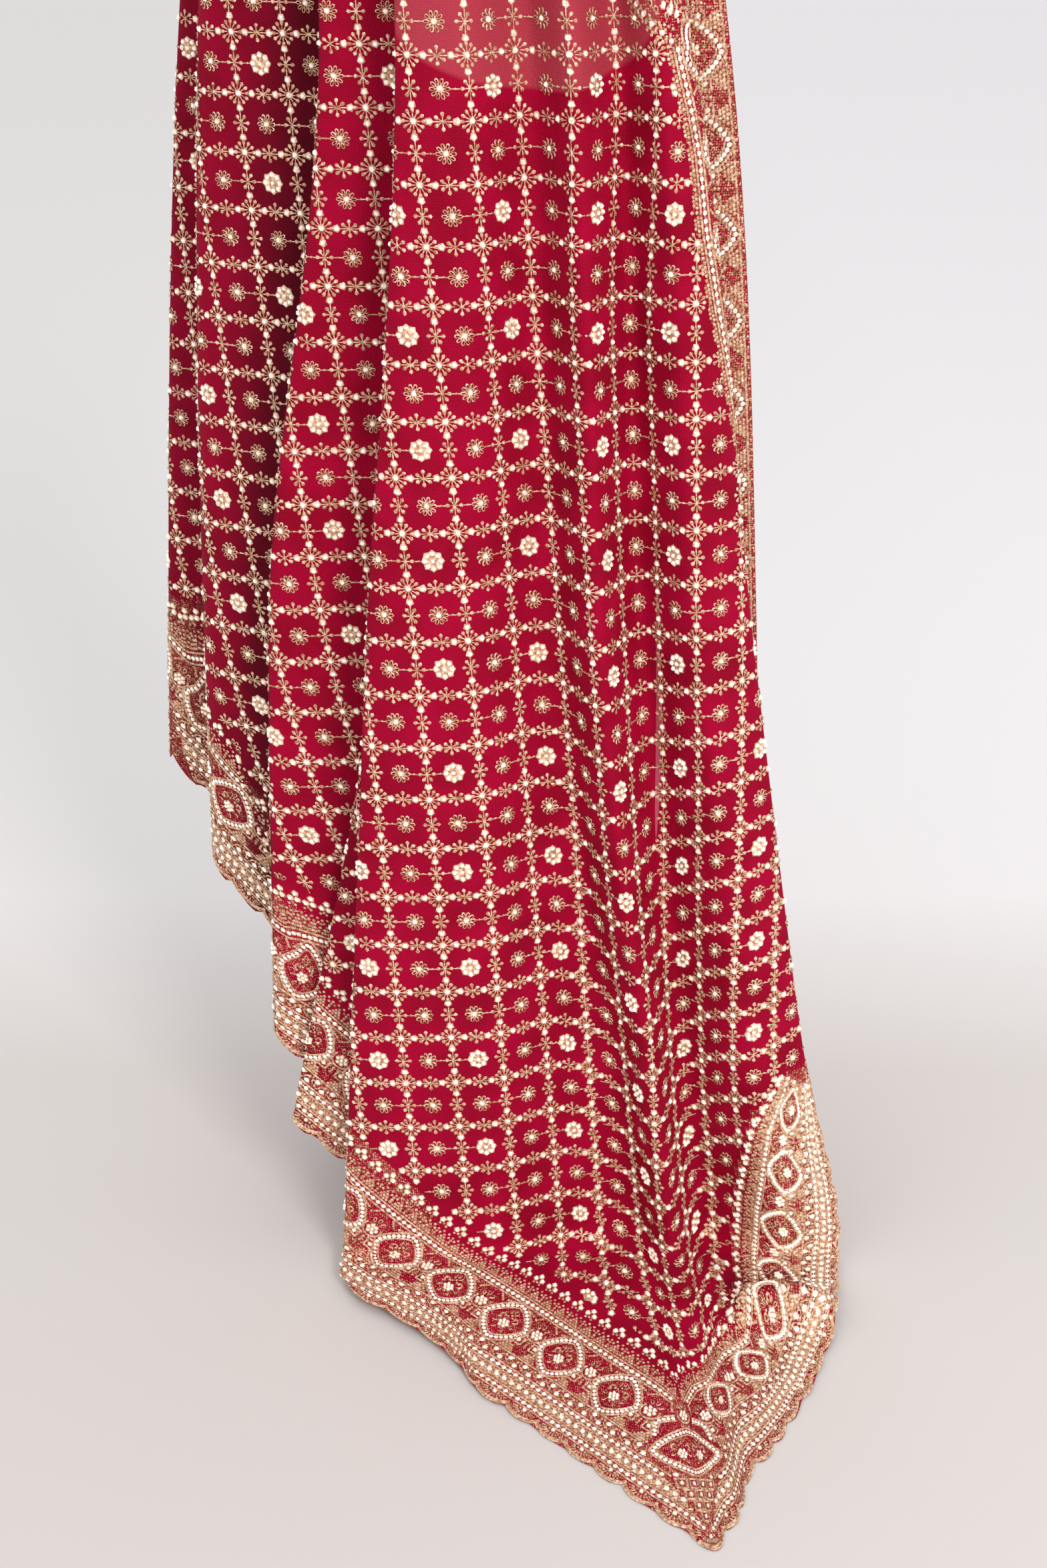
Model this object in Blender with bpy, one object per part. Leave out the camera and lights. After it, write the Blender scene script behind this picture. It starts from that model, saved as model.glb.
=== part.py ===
"""A worn georgette sari: skirt wrap, front pleats and a long pallu that hangs in front and trails on the floor.

Lengths in the tables are millimetres. Heights are measured up from the floor, x from the wearer's middle
with the left of the front view negative, and y away from the viewer. The frame's origin is the waist.
"""

import math

import bpy
import numpy as np

MM = 0.001

# Cloth
WALL = 2.0 * MM
SEAM_GAP = 1.2 * MM
CREST_GAP = 1.3 * MM
LAY_GAP = 0.9 * MM
LAY_SLACK = 3.0 * MM
CRIMSON = (0.35, 0.004, 0.022, 1.0)
CLOTH_ROUGHNESS = 0.75

# Heights above the floor
WAIST_HEIGHT = 1020 * MM
GRAIN_ZERO_HEIGHT = 1064.5 * MM
HIP_HEIGHT = 1100 * MM
KNEE_HEIGHT = 600 * MM
SHIN_HEIGHT = 150 * MM
CHEST_HEIGHT = 1280 * MM
COLLAR_HEIGHT = 1425 * MM
CREST_HEIGHT = 1470 * MM

# The shoulder that carries the pallu
SHOULDER_OUTER_X = -188 * MM
SHOULDER_INNER_X = -58 * MM
CREST_FOLD = 5 * MM
CHEST_FOLD = 7 * MM
CHEST_TO_SHOULDER = 0.45
COLLAR_TO_SHOULDER = 0.86
CHEST_FORWARD = 0.78
COLLAR_FORWARD = 0.42
COLLAR_REAR_Y = -60 * MM
REAR_CHEST_SHARE = 0.55

# The pallu's folds from the rear edge round the left side to the front and right.
# "out" is 1 on a ridge that is seen and -1 on a turn that is hidden behind the next ridge.
FOLD_COLUMNS = ("name", "out", "hip_x", "hip_y", "knee_x", "knee_y", "shin_x", "shin_y")
FOLDS = (
    ("rear_edge", -1, -205, 112, -245, 125, -265, 130),
    ("side_ridge", 1, -264, 70, -309, 70, -335, 70),
    ("side_turn", -1, -210, 30, -250, 34, -264, 34),
    ("second_ridge", 1, -238, -10, -267, -10, -277, -10),
    ("second_turn", -1, -122, -86, -184, -84, -200, -84),
    ("third_ridge", 1, -137, -112, -198, -114, -214, -114),
    ("third_turn", -1, -62, -130, -100, -130, -130, -126),
    ("foot_ridge", 1, -70, -144, -106, -148, -192, -142),
    ("foot_turn", -1, -56, -160, -92, -164, -110, -162),
    ("panel_edge", 1, -77, -180, -112, -184, -140, -184),
    ("panel_middle", 1, -32, -192, -36, -194, -20, -194),
    ("first_crease", -1, 16, -158, 41, -154, 104, -154),
    ("middle_ridge", 1, 46, -188, 76, -192, 134, -192),
    ("second_crease", -1, 80, -152, 112, -148, 163, -146),
    ("right_ridge", 1, 108, -182, 158, -188, 222, -188),
    ("right_edge", 1, 130, -164, 203, -164, 273, -168),
    ("right_turn", -1, 88, -138, 124, -134, 190, -132),
    ("border_edge", 1, 163, -124, 210, -112, 232, -112),
)
END_OF_LEFT = 8.5
END_OF_FRONT = 16.5
HEM_CLIMBS_FROM = 16

# The grain: cloth measured across from one straight thread line, and down from GRAIN_ZERO_HEIGHT.
GRAIN_X_AT_ZERO = -25.5 * MM
GRAIN_LEAN = 0.0715
HEM_SLOPE = 1.03
CORNER_ACROSS = 92 * MM
CORNER_DOWN = 1413 * MM
REAR_HEM_HEIGHT = 740 * MM
BORDER_CORNER_HEIGHT = 500 * MM
# How far the hem rides up on its folds, in millimetres: a little in the cascade and most at the right edge.
HEM_LIFT_COLUMNS = ("fold", "lift")
HEM_LIFTS = (
    (0, 0),
    (2, 0),
    (3, 28),
    (4, 28),
    (5, 0),
    (6, 10),
    (7, 38),
    (8, 45),
    (9, 0),
    (13.5, 0),
    (14.5, 50),
    (14.75, 150),
    (15, 295),
    (15.5, 310),
    (16, 338),
    (17, 338),
)

# Where the pallu meets the floor
FLOOR_BEND = 30 * MM
FLOOR_LEAN = 0.09
LEFT_TUCK = 0.55
LEFT_TUCK_FROM_X = -40 * MM
LEFT_TUCK_WIDTH = 100 * MM
FLOOR_FRONT_Y = -186 * MM
FLOOR_EVENS_OUT = 90 * MM
FLOOR_LOBE = 0.35
FLOOR_LOBE_FADE = 150 * MM
VALLEY_Y = -150 * MM
RUCK_X = 238 * MM
RUCK_Y = -262 * MM
RUCK_HALF_WIDTH = 60 * MM
RUCK_HALF_DEPTH = 24 * MM
RUCK_HEIGHT = 26 * MM
RIM_FLARE = 20 * MM
RIM_FLARE_DOWN = 1030 * MM
RIM_FLARE_HALF = 110 * MM
RIM_FLARE_FROM_X = 150 * MM
RIM_FLARE_WIDTH = 110 * MM

# The skirt is an oval tube: half widths at each height.
SKIRT_COLUMNS = ("height", "half_width", "half_depth")
SKIRT = (
    (1100, 139, 100),
    (1030, 146, 104),
    (860, 172, 120),
    (500, 160, 114),
    (55, 152, 112),
)
SKIRT_HEM_HEIGHT = 55 * MM
SKIRT_TOP_FRONT = 1032 * MM
SKIRT_TOP_SIDE = 1085 * MM
SKIRT_TOP_BACK = 1062 * MM
SKIRT_AROUND = 44
SKIRT_ROWS = 11

# Front pleats
PLEATS = 6
PLEATS_TOP_WIDTH = 96 * MM
PLEATS_HEM_WIDTH = 150 * MM
PLEAT_DEPTH = 11 * MM
PLEAT_LIFT_OFF_HEM = 20 * MM
PLEAT_ROWS = 9
POINTS_A_PLEAT = 6

# The pallu down the back
BACK_LEFT_X = -128 * MM
BACK_RIGHT_X = 104 * MM
BACK_FULL_Y = 128 * MM
BACK_FULL_HEIGHT = 1330 * MM
BACK_HEM_HEIGHT = 1000 * MM
BACK_WAIST_HEIGHT = 1130 * MM
BACK_OFF_WAIST = 9 * MM
BACK_FOLD = 4 * MM
BACK_ROWS = 13

# Mesh density
NET_LEVELS = 161
NET_POINTS_A_FOLD = 12
LEFT_POINTS_A_FOLD = 3
FRONT_POINTS_A_FOLD = 4
RIGHT_POINTS_A_FOLD = 8
# Rows from crest to hip, on to the floor's bend, round the bend and on to the hem.
LEFT_ROWS = (6, 11, 5, 8)
FRONT_ROWS = (6, 11, 5, 8)
RIGHT_ROWS = (6, 12, 1, 1)
BEND_STARTS_BY = 0.90
BEND_ENDS_BY = 0.955


def table(columns, rows):
    """The rows as a dictionary of arrays, one for each named column."""
    return {name: np.array([row[i] for row in rows]) for i, name in enumerate(columns)}


def smooth(stops, values, at, steady=False):
    """Values read from a curve through each row of values at its stop. A steady one never overshoots them."""
    stops = np.asarray(stops, float)
    values = np.asarray(values, float)
    at = np.asarray(at, float)
    steps = np.diff(stops)
    slopes = np.diff(values, axis=0) / steps[:, None]
    tangents = np.empty_like(values)
    tangents[0] = slopes[0]
    tangents[-1] = slopes[-1]
    before = steps[:-1, None]
    after = steps[1:, None]
    if steady:
        product = slopes[:-1] * slopes[1:]
        total = slopes[:-1] + slopes[1:]
        tangents[1:-1] = np.where(product > 0, 2 * product / np.where(total == 0, 1, total), 0)
    else:
        tangents[1:-1] = (slopes[:-1] * after + slopes[1:] * before) / (before + after)
    i = np.clip(np.searchsorted(stops, at, side="right") - 1, 0, len(steps) - 1)
    step = steps[i][:, None]
    u = ((at - stops[i]) / steps[i])[:, None]
    beyond = at > stops[-1]
    curve = (
        (1 + 2 * u) * (1 - u) ** 2 * values[i]
        + u * (1 - u) ** 2 * step * tangents[i]
        + u**2 * (3 - 2 * u) * values[i + 1]
        + u**2 * (u - 1) * step * tangents[i + 1]
    )
    straight = values[-1] + (at - stops[-1])[:, None] * tangents[-1]
    return np.where(beyond[:, None], straight, curve)


def down(height):
    """Cloth measured down from the grain's zero line to a height above the floor."""
    return GRAIN_ZERO_HEIGHT - height


def fold_levels():
    """(downs, points): the fold lines' points at each named level, from the shoulder's crest to the shin."""
    folds = table(FOLD_COLUMNS, FOLDS)
    out = folds["out"].astype(float)
    share = np.linspace(0, 1, len(out))
    hip = np.stack([folds["hip_x"] * MM, folds["hip_y"] * MM], axis=1)
    knee = np.stack([folds["knee_x"] * MM, folds["knee_y"] * MM], axis=1)
    shin = np.stack([folds["shin_x"] * MM, folds["shin_y"] * MM], axis=1)
    crest_x = SHOULDER_OUTER_X + share * (SHOULDER_INNER_X - SHOULDER_OUTER_X)

    def level(x, y, height):
        return np.stack([x, y, np.broadcast_to(height, x.shape)], axis=1)

    chest_x = hip[:, 0] + CHEST_TO_SHOULDER * (crest_x - hip[:, 0])
    collar_x = hip[:, 0] + COLLAR_TO_SHOULDER * (crest_x - hip[:, 0])
    collar_y = COLLAR_FORWARD * np.minimum(hip[:, 1], COLLAR_REAR_Y)
    chest_y = np.where(hip[:, 1] < 0, CHEST_FORWARD, REAR_CHEST_SHARE) * hip[:, 1]
    points = [
        level(crest_x, np.zeros_like(crest_x), CREST_HEIGHT + CREST_FOLD * out),
        level(collar_x, collar_y - 0.7 * CREST_FOLD * out, COLLAR_HEIGHT + 0.7 * CREST_FOLD * out),
        level(chest_x, chest_y - CHEST_FOLD * out, CHEST_HEIGHT),
        level(hip[:, 0], hip[:, 1], HIP_HEIGHT),
        level(knee[:, 0], knee[:, 1], KNEE_HEIGHT),
        level(shin[:, 0], shin[:, 1], SHIN_HEIGHT),
    ]
    shoulder_reach = abs(COLLAR_FORWARD * min(hip[:, 1]))
    crest_down = down(COLLAR_HEIGHT) - math.hypot(shoulder_reach, CREST_HEIGHT - COLLAR_HEIGHT)
    heights = (COLLAR_HEIGHT, CHEST_HEIGHT, HIP_HEIGHT, KNEE_HEIGHT, SHIN_HEIGHT)
    return np.array([crest_down] + [down(h) for h in heights]), points


class Drape:
    """The pallu as a net of points over (fold, down), which are read between its points."""

    def __init__(self):
        level_downs, level_points = fold_levels()
        self.crest = level_downs[0]
        self.downs = np.linspace(self.crest, down(0), NET_LEVELS)
        last = len(FOLDS) - 1
        self.folds = np.linspace(0, last, last * NET_POINTS_A_FOLD + 1)
        stacked = np.stack(level_points).reshape(len(level_points), -1)
        lines = smooth(level_downs, stacked, self.downs, steady=True).reshape(NET_LEVELS, -1, 3)
        self.net = np.stack([self.level_curve(line) for line in lines])
        self.across = self.measure_across()

    def level_curve(self, line):
        """One level's points, on a curve through the fold lines with even chord weights."""
        chords = np.concatenate([[0], np.cumsum(np.linalg.norm(np.diff(line, axis=0), axis=1))])
        at = np.interp(self.folds, np.arange(len(line)), chords)
        return smooth(chords, line, at)

    def measure_across(self):
        """Cloth measured across from the thread line, at each point of the net."""
        arcs = np.concatenate(
            [np.zeros((NET_LEVELS, 1)), np.cumsum(np.linalg.norm(np.diff(self.net, axis=1), axis=2), axis=1)], axis=1
        )
        grain_x = GRAIN_X_AT_ZERO + GRAIN_LEAN * self.downs
        near = (self.folds > 9) & (self.folds < 11)
        hip_row = int(np.searchsorted(self.downs, down(HIP_HEIGHT)))
        across = np.empty_like(arcs)
        for row in range(hip_row, NET_LEVELS):
            zero = np.interp(grain_x[row], self.net[row, near, 0], arcs[row, near])
            across[row] = arcs[row] - zero
        across[:hip_row] = across[hip_row]
        return across

    def read(self, values, fold, at_down):
        """The net's values between its points. fold and at_down are arrays of one shape."""
        column = np.clip(fold / self.folds[-1], 0, 1) * (len(self.folds) - 1)
        row = np.clip((at_down - self.crest) / (self.downs[-1] - self.crest), 0, 1) * (NET_LEVELS - 1)
        c = np.minimum(column.astype(int), len(self.folds) - 2)
        r = np.minimum(row.astype(int), NET_LEVELS - 2)
        u = column - c
        v = row - r
        if values.ndim == 3:
            u = u[..., None]
            v = v[..., None]
        upper = values[r, c] * (1 - u) + values[r, c + 1] * u
        lower = values[r + 1, c] * (1 - u) + values[r + 1, c + 1] * u
        return upper * (1 - v) + lower * v

    def hem(self, fold):
        """How far down the hem lies on each fold line."""
        found = np.full(fold.shape, down(SHIN_HEIGHT))
        for _ in range(12):
            across = self.read(self.across, fold, found)
            target = CORNER_DOWN - HEM_SLOPE * np.abs(across - CORNER_ACROSS)
            found = 0.5 * (found + target)
        lifts = table(HEM_LIFT_COLUMNS, HEM_LIFTS)
        found = found - smooth(lifts["fold"], lifts["lift"][:, None] * MM, fold, steady=True)[:, 0]
        rear = np.clip(1 - fold, 0, 1)
        found = found + rear * (down(REAR_HEM_HEIGHT) - found)
        border = np.clip(fold - HEM_CLIMBS_FROM, 0, 1)
        return found + border * (down(BORDER_CORNER_HEIGHT) - found)

    def place(self, fold, at_down):
        """Points in space, metres above the floor. Past the floor's bend the cloth lies toward the viewer."""
        bend_starts = down(FLOOR_BEND)
        angle = np.clip((at_down - bend_starts) / FLOOR_BEND, 0, math.pi / 2)
        along = np.maximum(at_down - bend_starts - FLOOR_BEND * math.pi / 2, 0)
        height = FLOOR_BEND * (1 - np.sin(angle))
        hanging = np.minimum(at_down, down(0))
        net_down = np.where(at_down > bend_starts, down(height), hanging)
        points = self.read(self.net, fold, net_down)
        lobe = FLOOR_LOBE * np.maximum(VALLEY_Y - points[..., 1], 0) * np.exp(-along / FLOOR_LOBE_FADE)
        evened = 1 - np.exp(-along / FLOOR_EVENS_OUT)
        points[..., 1] += evened * (FLOOR_FRONT_Y - points[..., 1])
        points[..., 1] -= FLOOR_BEND * (1 - np.cos(angle)) + along
        tuck = LEFT_TUCK * np.clip((LEFT_TUCK_FROM_X - points[..., 0]) / LEFT_TUCK_WIDTH, 0, 1)
        points[..., 0] += (FLOOR_LEAN + tuck) * along
        flare = RIM_FLARE * np.exp(-(((at_down - RIM_FLARE_DOWN) / RIM_FLARE_HALF) ** 2))
        points[..., 0] += flare * np.clip((points[..., 0] - RIM_FLARE_FROM_X) / RIM_FLARE_WIDTH, 0, 1)
        lying = np.sin(angle) ** 2
        off_x = (points[..., 0] - RUCK_X) / RUCK_HALF_WIDTH
        off_y = (points[..., 1] - RUCK_Y) / RUCK_HALF_DEPTH
        ruck = RUCK_HEIGHT * np.exp(-(off_x**2) - off_y**2)
        points[..., 2] += lying * (lobe * np.clip(1 - along / (2 * FLOOR_LOBE_FADE), 0, 1) + ruck)
        points[..., 2] = np.maximum(points[..., 2], WALL / 2)
        return points


def rows_down(drape, fold, counts):
    """Row positions down each fold line: crest to hip, to the floor's bend, round it, and on to the hem."""
    hip = np.full(fold.shape, down(HIP_HEIGHT))
    hem = drape.hem(fold)
    bend_starts = np.minimum(down(FLOOR_BEND), hip + (hem - hip) * BEND_STARTS_BY)
    bend_ends = np.minimum(down(FLOOR_BEND) + FLOOR_BEND * math.pi / 2, hip + (hem - hip) * BEND_ENDS_BY)
    stops = (np.full(fold.shape, drape.crest), hip, bend_starts, bend_ends, hem)
    rows = [np.linspace(stops[i], stops[i + 1], counts[i], endpoint=False) for i in range(4)]
    return np.concatenate(rows + [hem[None, :]])


def cloth_material():
    material = bpy.data.materials.new("crimson_georgette")
    material.use_nodes = True
    shader = material.node_tree.nodes["Principled BSDF"]
    shader.inputs["Base Color"].default_value = CRIMSON
    shader.inputs["Roughness"].default_value = CLOTH_ROUGHNESS
    shader.inputs["Metallic"].default_value = 0.0
    material.diffuse_color = CRIMSON
    return material


def cloth_wall(name, grid, material, around=False):
    """A closed cloth wall on a grid of middle points (rows, columns, 3), given as heights above the floor."""
    rows, columns = grid.shape[:2]
    points = grid.reshape(-1, 3) - (0, 0, WAIST_HEIGHT)
    reach = columns if around else columns - 1
    faces = []
    for r in range(rows - 1):
        for c in range(reach):
            here = r * columns + c
            beside = r * columns + (c + 1) % columns
            faces.append((here, here + columns, beside + columns, beside))
    mesh = bpy.data.meshes.new(name)
    mesh.from_pydata([tuple(p) for p in points], [], faces)
    mesh.materials.append(material)
    mesh.shade_smooth()
    obj = bpy.data.objects.new(name, mesh)
    bpy.context.scene.collection.objects.link(obj)
    wall = obj.modifiers.new("wall", "SOLIDIFY")
    wall.thickness = WALL
    wall.offset = 0.0
    return obj


def fold_columns(first, last, points_a_fold):
    """Fold positions of a stretch's columns: its two ends, and even ones between."""
    return np.linspace(first, last, int((last - first) * points_a_fold) + 1)


def trim_ends(grid, before, after):
    """Moves the first and last columns inward by half a seam gap, along the cloth."""
    trimmed = grid.copy()
    for end, inner, wanted in ((0, 1, before), (-1, -2, after)):
        if wanted:
            step = grid[:, inner] - grid[:, end]
            length = np.linalg.norm(step, axis=1, keepdims=True)
            trimmed[:, end] += step / length * SEAM_GAP / 2
    return trimmed


def make_pallu(drape, material):
    last = len(FOLDS) - 1
    stretches = (
        ("pallu_left", 0, END_OF_LEFT, LEFT_POINTS_A_FOLD, LEFT_ROWS),
        ("pallu_front", END_OF_LEFT, END_OF_FRONT, FRONT_POINTS_A_FOLD, FRONT_ROWS),
        ("pallu_right", END_OF_FRONT, last, RIGHT_POINTS_A_FOLD, RIGHT_ROWS),
    )
    for name, first, end, points_a_fold, row_counts in stretches:
        fold = fold_columns(first, end, points_a_fold)
        at = rows_down(drape, fold, row_counts)
        grid = drape.place(np.broadcast_to(fold, at.shape), at)
        grid = trim_ends(grid, first > 0, end < last)
        grid[0, :, 1] -= CREST_GAP / 2
        cloth_wall(name, grid, material)


def skirt_half_sizes(height):
    """(half width, half depth) of the skirt at each height."""
    sizes = table(SKIRT_COLUMNS, SKIRT[::-1])
    halves = np.stack([sizes["half_width"], sizes["half_depth"]], axis=1) * MM
    return smooth(sizes["height"] * MM, halves, np.atleast_1d(height)).T


def skirt_point(angle, height, outward):
    """A point on the skirt, moved outward. Angle 0 is the front and a quarter turn is the viewer's right."""
    half_width, half_depth = skirt_half_sizes(height)
    x = half_width * np.sin(angle)
    y = -half_depth * np.cos(angle)
    normal = np.stack([x / half_width**2, y / half_depth**2], axis=-1)
    normal /= np.linalg.norm(normal, axis=-1, keepdims=True)
    return np.stack([x + outward * normal[..., 0], y + outward * normal[..., 1], np.broadcast_to(height, x.shape)], -1)


def skirt_top(angle):
    """The height of the skirt's top edge: a low curve in front that climbs steeply at the sides."""
    side = np.sin(angle) ** 2
    front = SKIRT_TOP_FRONT + (SKIRT_TOP_SIDE - SKIRT_TOP_FRONT) * side**2
    back = SKIRT_TOP_BACK + (SKIRT_TOP_SIDE - SKIRT_TOP_BACK) * side**2
    return np.where(np.cos(angle) > 0, front, back)


def make_skirt(material):
    angle = np.linspace(0, 2 * math.pi, SKIRT_AROUND, endpoint=False)
    share = np.linspace(0, 1, SKIRT_ROWS)
    rows = []
    for part in share:
        height = skirt_top(angle) + part * (SKIRT_HEM_HEIGHT - skirt_top(angle))
        rows.append(skirt_point(angle, height, 0.0))
    cloth_wall("skirt_wrap", np.stack(rows)[:, ::-1], material, around=True)


def make_front_pleats(material):
    across = np.linspace(-0.5, 0.5, PLEATS * POINTS_A_PLEAT + 1)
    wave = 0.5 - 0.5 * np.cos(2 * math.pi * PLEATS * (across + 0.5))
    lean = 0.12 * np.sin(2 * math.pi * PLEATS * (across + 0.5)) / PLEATS
    rows = []
    for part in np.linspace(0, 1, PLEAT_ROWS):
        top = SKIRT_TOP_FRONT - 4 * MM
        height = np.full(across.shape, top + part * (SKIRT_HEM_HEIGHT + PLEAT_LIFT_OFF_HEM - top))
        half_width, half_depth = skirt_half_sizes(height)
        width = PLEATS_TOP_WIDTH + part * (PLEATS_HEM_WIDTH - PLEATS_TOP_WIDTH)
        angle = np.arcsin((across + lean) * width / half_width)
        slack = LAY_SLACK * min(1.0, 3 * part)
        lift = WALL + LAY_GAP + slack + PLEAT_DEPTH * wave * (0.55 + 0.45 * part)
        rows.append(skirt_point(angle, height, lift))
    cloth_wall("front_pleats", np.stack(rows), material)


def make_back(drape, material):
    last = len(FOLDS) - 1
    fold = np.linspace(0, last, last * 2 + 1)
    crest = drape.place(fold, np.full(fold.shape, drape.crest))
    share = fold / last
    out = np.interp(fold, np.arange(last + 1), table(FOLD_COLUMNS, FOLDS)["out"])
    low_x = BACK_LEFT_X + share * (BACK_RIGHT_X - BACK_LEFT_X)
    half_width, _ = skirt_half_sizes(BACK_HEM_HEIGHT)
    hem_height = np.full(fold.shape, BACK_HEM_HEIGHT)
    lift = WALL + LAY_GAP + 0.5 * BACK_FOLD * (1 + out)
    low = skirt_point(math.pi - np.arcsin(low_x / half_width), hem_height, lift)
    waist_back = low + (0, BACK_OFF_WAIST, BACK_WAIST_HEIGHT - BACK_HEM_HEIGHT)
    levels = [
        crest + (0, CREST_GAP / 2, 0),
        np.stack([0.9 * crest[:, 0] + 0.1 * low_x, np.full(fold.shape, 70 * MM), 1438 * MM + 0.6 * CREST_FOLD * out], 1),
        np.stack([0.6 * crest[:, 0] + 0.4 * low_x, BACK_FULL_Y + BACK_FOLD * out, np.full(fold.shape, BACK_FULL_HEIGHT)], 1),
        waist_back,
        low,
    ]
    stops = np.array([0, 0.16, 0.42, 0.78, 1.0])
    stacked = np.stack(levels).reshape(len(levels), -1)
    grid = smooth(stops, stacked, np.linspace(0, 1, BACK_ROWS)).reshape(BACK_ROWS, len(fold), 3)
    cloth_wall("pallu_back", grid[:, ::-1], material)


def main():
    for obj in list(bpy.data.objects):
        bpy.data.objects.remove(obj)
    material = cloth_material()
    drape = Drape()
    make_pallu(drape, material)
    make_back(drape, material)
    make_skirt(material)
    make_front_pleats(material)


main()
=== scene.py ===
"""Looks of a worn georgette sari: crepe cloth, raised thread work, crystals, floor and light.

Heights are measured up from the floor, x from the wearer's middle with the left of the front view negative,
and y away from the viewer. The frame's origin is the waist. Cloth is read by its flat pattern: across from
one straight thread line and down from GRAIN_ZERO_HEIGHT.
"""

import math

import bpy
import numpy as np
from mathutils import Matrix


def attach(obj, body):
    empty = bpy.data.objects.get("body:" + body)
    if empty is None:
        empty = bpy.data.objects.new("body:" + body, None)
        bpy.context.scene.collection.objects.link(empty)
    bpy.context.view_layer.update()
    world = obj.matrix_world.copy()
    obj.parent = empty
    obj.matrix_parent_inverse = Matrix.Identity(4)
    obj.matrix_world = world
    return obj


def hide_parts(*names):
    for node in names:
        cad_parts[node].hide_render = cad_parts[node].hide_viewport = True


MM = 0.001

# The frame's cloth and its heights above the floor
WALL = 2.0 * MM
CREST_GAP = 1.3 * MM
LAY_GAP = 0.9 * MM
LAY_SLACK = 3.0 * MM
WAIST_HEIGHT = 1020 * MM
GRAIN_ZERO_HEIGHT = 1064.5 * MM
HIP_HEIGHT = 1100 * MM
KNEE_HEIGHT = 600 * MM
SHIN_HEIGHT = 150 * MM
CHEST_HEIGHT = 1280 * MM
COLLAR_HEIGHT = 1425 * MM
CREST_HEIGHT = 1470 * MM

# The shoulder that carries the pallu
SHOULDER_OUTER_X = -188 * MM
SHOULDER_INNER_X = -58 * MM
CREST_FOLD = 5 * MM
CHEST_FOLD = 7 * MM
CHEST_TO_SHOULDER = 0.45
COLLAR_TO_SHOULDER = 0.86
CHEST_FORWARD = 0.78
COLLAR_FORWARD = 0.42
COLLAR_REAR_Y = -60 * MM
REAR_CHEST_SHARE = 0.55

# The pallu's folds, as in the frame. "out" is 1 on a ridge that is seen and -1 on a hidden turn.
FOLD_COLUMNS = ("name", "out", "hip_x", "hip_y", "knee_x", "knee_y", "shin_x", "shin_y")
FOLDS = (
    ("rear_edge", -1, -205, 112, -245, 125, -265, 130),
    ("side_ridge", 1, -264, 70, -309, 70, -335, 70),
    ("side_turn", -1, -210, 30, -250, 34, -264, 34),
    ("second_ridge", 1, -238, -10, -267, -10, -277, -10),
    ("second_turn", -1, -122, -86, -184, -84, -200, -84),
    ("third_ridge", 1, -137, -112, -198, -114, -214, -114),
    ("third_turn", -1, -62, -130, -100, -130, -130, -126),
    ("foot_ridge", 1, -70, -144, -106, -148, -192, -142),
    ("foot_turn", -1, -56, -160, -92, -164, -110, -162),
    ("panel_edge", 1, -77, -180, -112, -184, -140, -184),
    ("panel_middle", 1, -32, -192, -36, -194, -20, -194),
    ("first_crease", -1, 16, -158, 41, -154, 104, -154),
    ("middle_ridge", 1, 46, -188, 76, -192, 134, -192),
    ("second_crease", -1, 80, -152, 112, -148, 163, -146),
    ("right_ridge", 1, 108, -182, 158, -188, 222, -188),
    ("right_edge", 1, 130, -164, 203, -164, 273, -168),
    ("right_turn", -1, 88, -138, 124, -134, 190, -132),
    ("border_edge", 1, 163, -124, 210, -112, 232, -112),
)
LAST_FOLD = len(FOLDS) - 1
END_OF_LEFT = 8.5
END_OF_FRONT = 16.5
HEM_CLIMBS_FROM = 16

# The grain and the pallu's hems on the flat pattern
GRAIN_X_AT_ZERO = -25.5 * MM
GRAIN_LEAN = 0.0715
HEM_SLOPE = 1.03
CORNER_ACROSS = 92 * MM
CORNER_DOWN = 1413 * MM
REAR_HEM_HEIGHT = 740 * MM
BORDER_CORNER_HEIGHT = 500 * MM
# How far the hem rides up on its folds, in millimetres: a little in the cascade and most at the right edge.
HEM_LIFT_COLUMNS = ("fold", "lift")
HEM_LIFTS = (
    (0, 0),
    (2, 0),
    (3, 28),
    (4, 28),
    (5, 0),
    (6, 10),
    (7, 38),
    (8, 45),
    (9, 0),
    (13.5, 0),
    (14.5, 50),
    (14.75, 150),
    (15, 295),
    (15.5, 310),
    (16, 338),
    (17, 338),
)

# Where the pallu meets the floor
FLOOR_BEND = 30 * MM
FLOOR_LEAN = 0.09
LEFT_TUCK = 0.55
LEFT_TUCK_FROM_X = -40 * MM
LEFT_TUCK_WIDTH = 100 * MM
FLOOR_FRONT_Y = -186 * MM
FLOOR_EVENS_OUT = 90 * MM
FLOOR_LOBE = 0.35
FLOOR_LOBE_FADE = 150 * MM
VALLEY_Y = -150 * MM
RUCK_X = 238 * MM
RUCK_Y = -262 * MM
RUCK_HALF_WIDTH = 60 * MM
RUCK_HALF_DEPTH = 24 * MM
RUCK_HEIGHT = 26 * MM
RIM_FLARE = 20 * MM
RIM_FLARE_DOWN = 1030 * MM
RIM_FLARE_HALF = 110 * MM
RIM_FLARE_FROM_X = 150 * MM
RIM_FLARE_WIDTH = 110 * MM

# Skirt
SKIRT_COLUMNS = ("height", "half_width", "half_depth")
SKIRT = (
    (1100, 139, 100),
    (1030, 146, 104),
    (860, 172, 120),
    (500, 160, 114),
    (55, 152, 112),
)
SKIRT_HEM_HEIGHT = 55 * MM
SKIRT_TOP_FRONT = 1032 * MM
SKIRT_TOP_SIDE = 1085 * MM
SKIRT_TOP_BACK = 1062 * MM

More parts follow.
